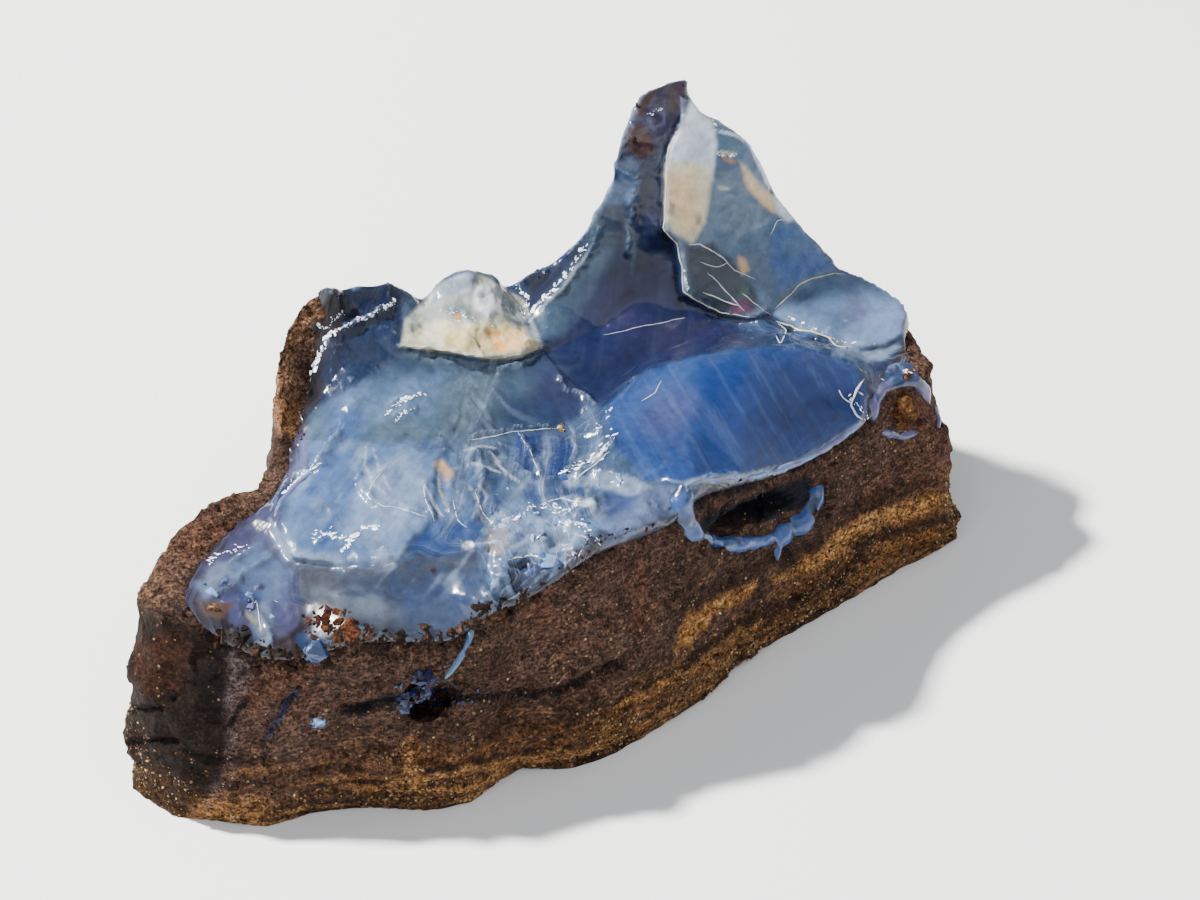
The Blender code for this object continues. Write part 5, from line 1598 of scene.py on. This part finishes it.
# %% Painted glints
HIGHLIGHT_CHIP_LINES = (
    # count, width in squares, size range in mm, line
    (46, 5, 0.10, 0.26, ((310, 372), (322, 350), (330, 334), (345, 326), (365, 318), (385, 307),
                         (395, 302))),
    (14, 4, 0.08, 0.20, ((318, 324), (326, 330), (334, 318), (345, 312))),
    (34, 5, 0.08, 0.20, ((524, 318), (545, 298), (560, 282), (575, 262), (588, 242))),
    (16, 7, 0.08, 0.18, ((518, 290), (528, 300), (522, 314))),
    (20, 4, 0.10, 0.22, ((388, 414), (398, 402), (408, 398), (426, 394))),
    (10, 4, 0.08, 0.18, ((396, 420), (404, 412), (414, 408))),
    (16, 3, 0.10, 0.22, ((284, 492), (300, 478), (312, 470), (322, 461))),
    (20, 8, 0.08, 0.22, ((312, 536), (330, 532), (352, 542))),
    (16, 6, 0.08, 0.20, ((340, 552), (362, 528), (380, 526))),
    (14, 9, 0.08, 0.20, ((205, 566), (225, 552), (248, 548))),
    (20, 10, 0.08, 0.22, ((560, 472), (590, 462), (604, 448), (612, 432))),
    (10, 8, 0.08, 0.20, ((596, 430), (606, 415), (612, 404))),
    (22, 14, 0.08, 0.20, ((498, 524), (530, 508), (572, 512))),
    (12, 8, 0.08, 0.18, ((580, 520), (592, 536), (600, 546))),
    (10, 5, 0.08, 0.16, ((850, 398), (862, 410), (866, 424))),
    (12, 4, 0.06, 0.14, ((700, 480), (770, 475), (800, 463), (840, 444))),
    (10, 6, 0.08, 0.16, ((884, 380), (900, 372), (918, 370))),
    (6, 4, 0.06, 0.14, ((646, 114), (664, 108))),
    (8, 5, 0.08, 0.18, ((700, 108), (712, 118), (722, 132))),
    (10, 4, 0.06, 0.14, ((716, 154), (738, 156))),
    (8, 3, 0.06, 0.14, ((684, 270), (688, 292))),
    (12, 10, 0.06, 0.14, ((448, 312), (470, 318), (492, 326))),
    (10, 3, 0.06, 0.14, ((790, 316), (840, 342), (878, 344))),
)


def laid_flat(normal, heading):
    """Turn that lays a chip flat on the stone with its long side along a heading on the sheet."""
    along = RIGHT * heading[0] - UP * heading[1]
    along = along - normal * (along @ normal)
    along = along / max(np.linalg.norm(along), 1e-9)
    return np.stack([along, np.cross(normal, along), normal], 1)


places, sizes, turns = [], [], []
for count, width, small, large, line in HIGHLIGHT_CHIP_LINES:
    squares = along_line(line, 1.0)
    for _ in range(count * 2):
        k = rng.integers(len(squares) - 1)
        place, normal = spot(*(squares[k] + rng.normal(0, width / 4, 2)))
        if place is None:
            continue
        places.append(place)
        sizes.append((small / 2 + (large - small) * rng.uniform() ** 3) * MM)
        turns.append(laid_flat(normal, squares[k + 1] - squares[k] + rng.normal(0, 0.4, 2)))
# painted highlight: near-white chips, brighter than frost, for the glints on the crests
highlight_chips = scatter("painted_highlight_chips", places, sizes, np.tile(PALETTE["frost"] * 1.6, (len(places), 1)),
                      dent=0.5, low=(0.9, 0.4, 0.2), high=(1.7, 0.9, 0.4), turns=turns)

# %% [markdown]
# The round nodule at the right end is a ball, half sunk and roughened.

# %% Nodule
place, normal = spot(905, 411)
bpy.ops.mesh.primitive_ico_sphere_add(subdivisions=5, radius=1.15 * MM, location=place - normal * 0.35 * MM)
nodule = bpy.context.object
nodule.name = "iron_nodule"
bpy.ops.object.transform_apply(location=True, rotation=True, scale=True)
co = read_points(nodule)
lumps = 0.12 * MM * clouds(co, 0.9 * MM, 141) + 0.05 * MM * clouds(co, 0.25 * MM, 143)
write_points(nodule, co + read_normals(nodule) * lumps[:, None])
bpy.ops.object.shade_smooth()
colours = lay(np.tile(PALETTE["ochre"], (len(co), 1)), "rust", ease(-0.2, 0.6, clouds(co, 0.7 * MM, 145)))
dress(nodule, colours, 0.12, 0.0)
print("chips:", triangles(crumbs), triangles(crystals), triangles(grains), "triangles; nodule",
      triangles(nodule))

# %% [markdown]
# Every small piece takes one of the two finishes.

# %% Finishes of the small pieces
for piece, coat in ((rims, blue), (cracks, blue), (lining, blue), (ring, blue), (lip, blue), (vein, blue),
                    (crystals, blue), (highlight_chips, blue),
                    (crumbs, rock), (grains, rock), (nodule, rock)):
    piece.data.materials.clear()
    piece.data.materials.append(coat)
    extras.append((piece, "brown_ironstone" if coat == rock else "blue_opal"))

# %% [markdown]
# ## Floor and light
# A pale floor, one bright soft light behind the left shoulder that rakes over the ridges, a broad
# fill in front and a pale sky.

# %% Floor and lights
def lamp(name, place, aim, size, power, tint=(1, 1, 1)):
    light = bpy.data.objects.new(name, bpy.data.lights.new(name, "AREA"))
    light.data.size = size
    light.data.energy = power
    light.data.color = tint
    light.location = place
    light.rotation_mode = "QUATERNION"
    light.rotation_quaternion = (Vector(aim) - Vector(place)).to_track_quat("-Z", "Y")
    bpy.context.scene.collection.objects.link(light)
    return light


MIDDLE = (0.0, 0.0, 0.012)
lamp("key", (-0.26, 0.22, 0.42), MIDDLE, 0.035, 13.0, (1.0, 0.97, 0.92))
lamp("fill", (-0.25, -0.55, 0.40), MIDDLE, 1.2, 6.0, (0.96, 0.98, 1.0))
lamp("side", (0.60, -0.20, 0.40), MIDDLE, 0.9, 2.0)
bpy.ops.object.select_all(action="DESELECT")
bpy.ops.mesh.primitive_plane_add(size=6.0, location=(0, 0, 0))
floor = bpy.context.object
floor.name = "floor"
pale = bpy.data.materials.new("pale_floor")
pale.use_nodes = True
pale.node_tree.nodes["Principled BSDF"].inputs["Base Color"].default_value = (0.86, 0.87, 0.88, 1)
pale.node_tree.nodes["Principled BSDF"].inputs["Roughness"].default_value = 0.7
floor.data.materials.append(pale)
world = bpy.data.worlds.new("sky")
bpy.context.scene.world = world
world.use_nodes = True
world.node_tree.nodes["Background"].inputs["Color"].default_value = (0.93, 0.96, 1.0, 1)
world.node_tree.nodes["Background"].inputs["Strength"].default_value = 0.25

# %% [markdown]
# ## Hand over
# Each piece rides the stone's one body.  The two skins take the
# place of their solids.

# %% Hand over
for piece, node, finish in ((opal, "opal", "blue_opal"), (stone, "ironstone_matrix", "brown_ironstone")):
    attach(piece, "root")
    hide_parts(node)
for piece, finish in extras:
    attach(piece, "root")
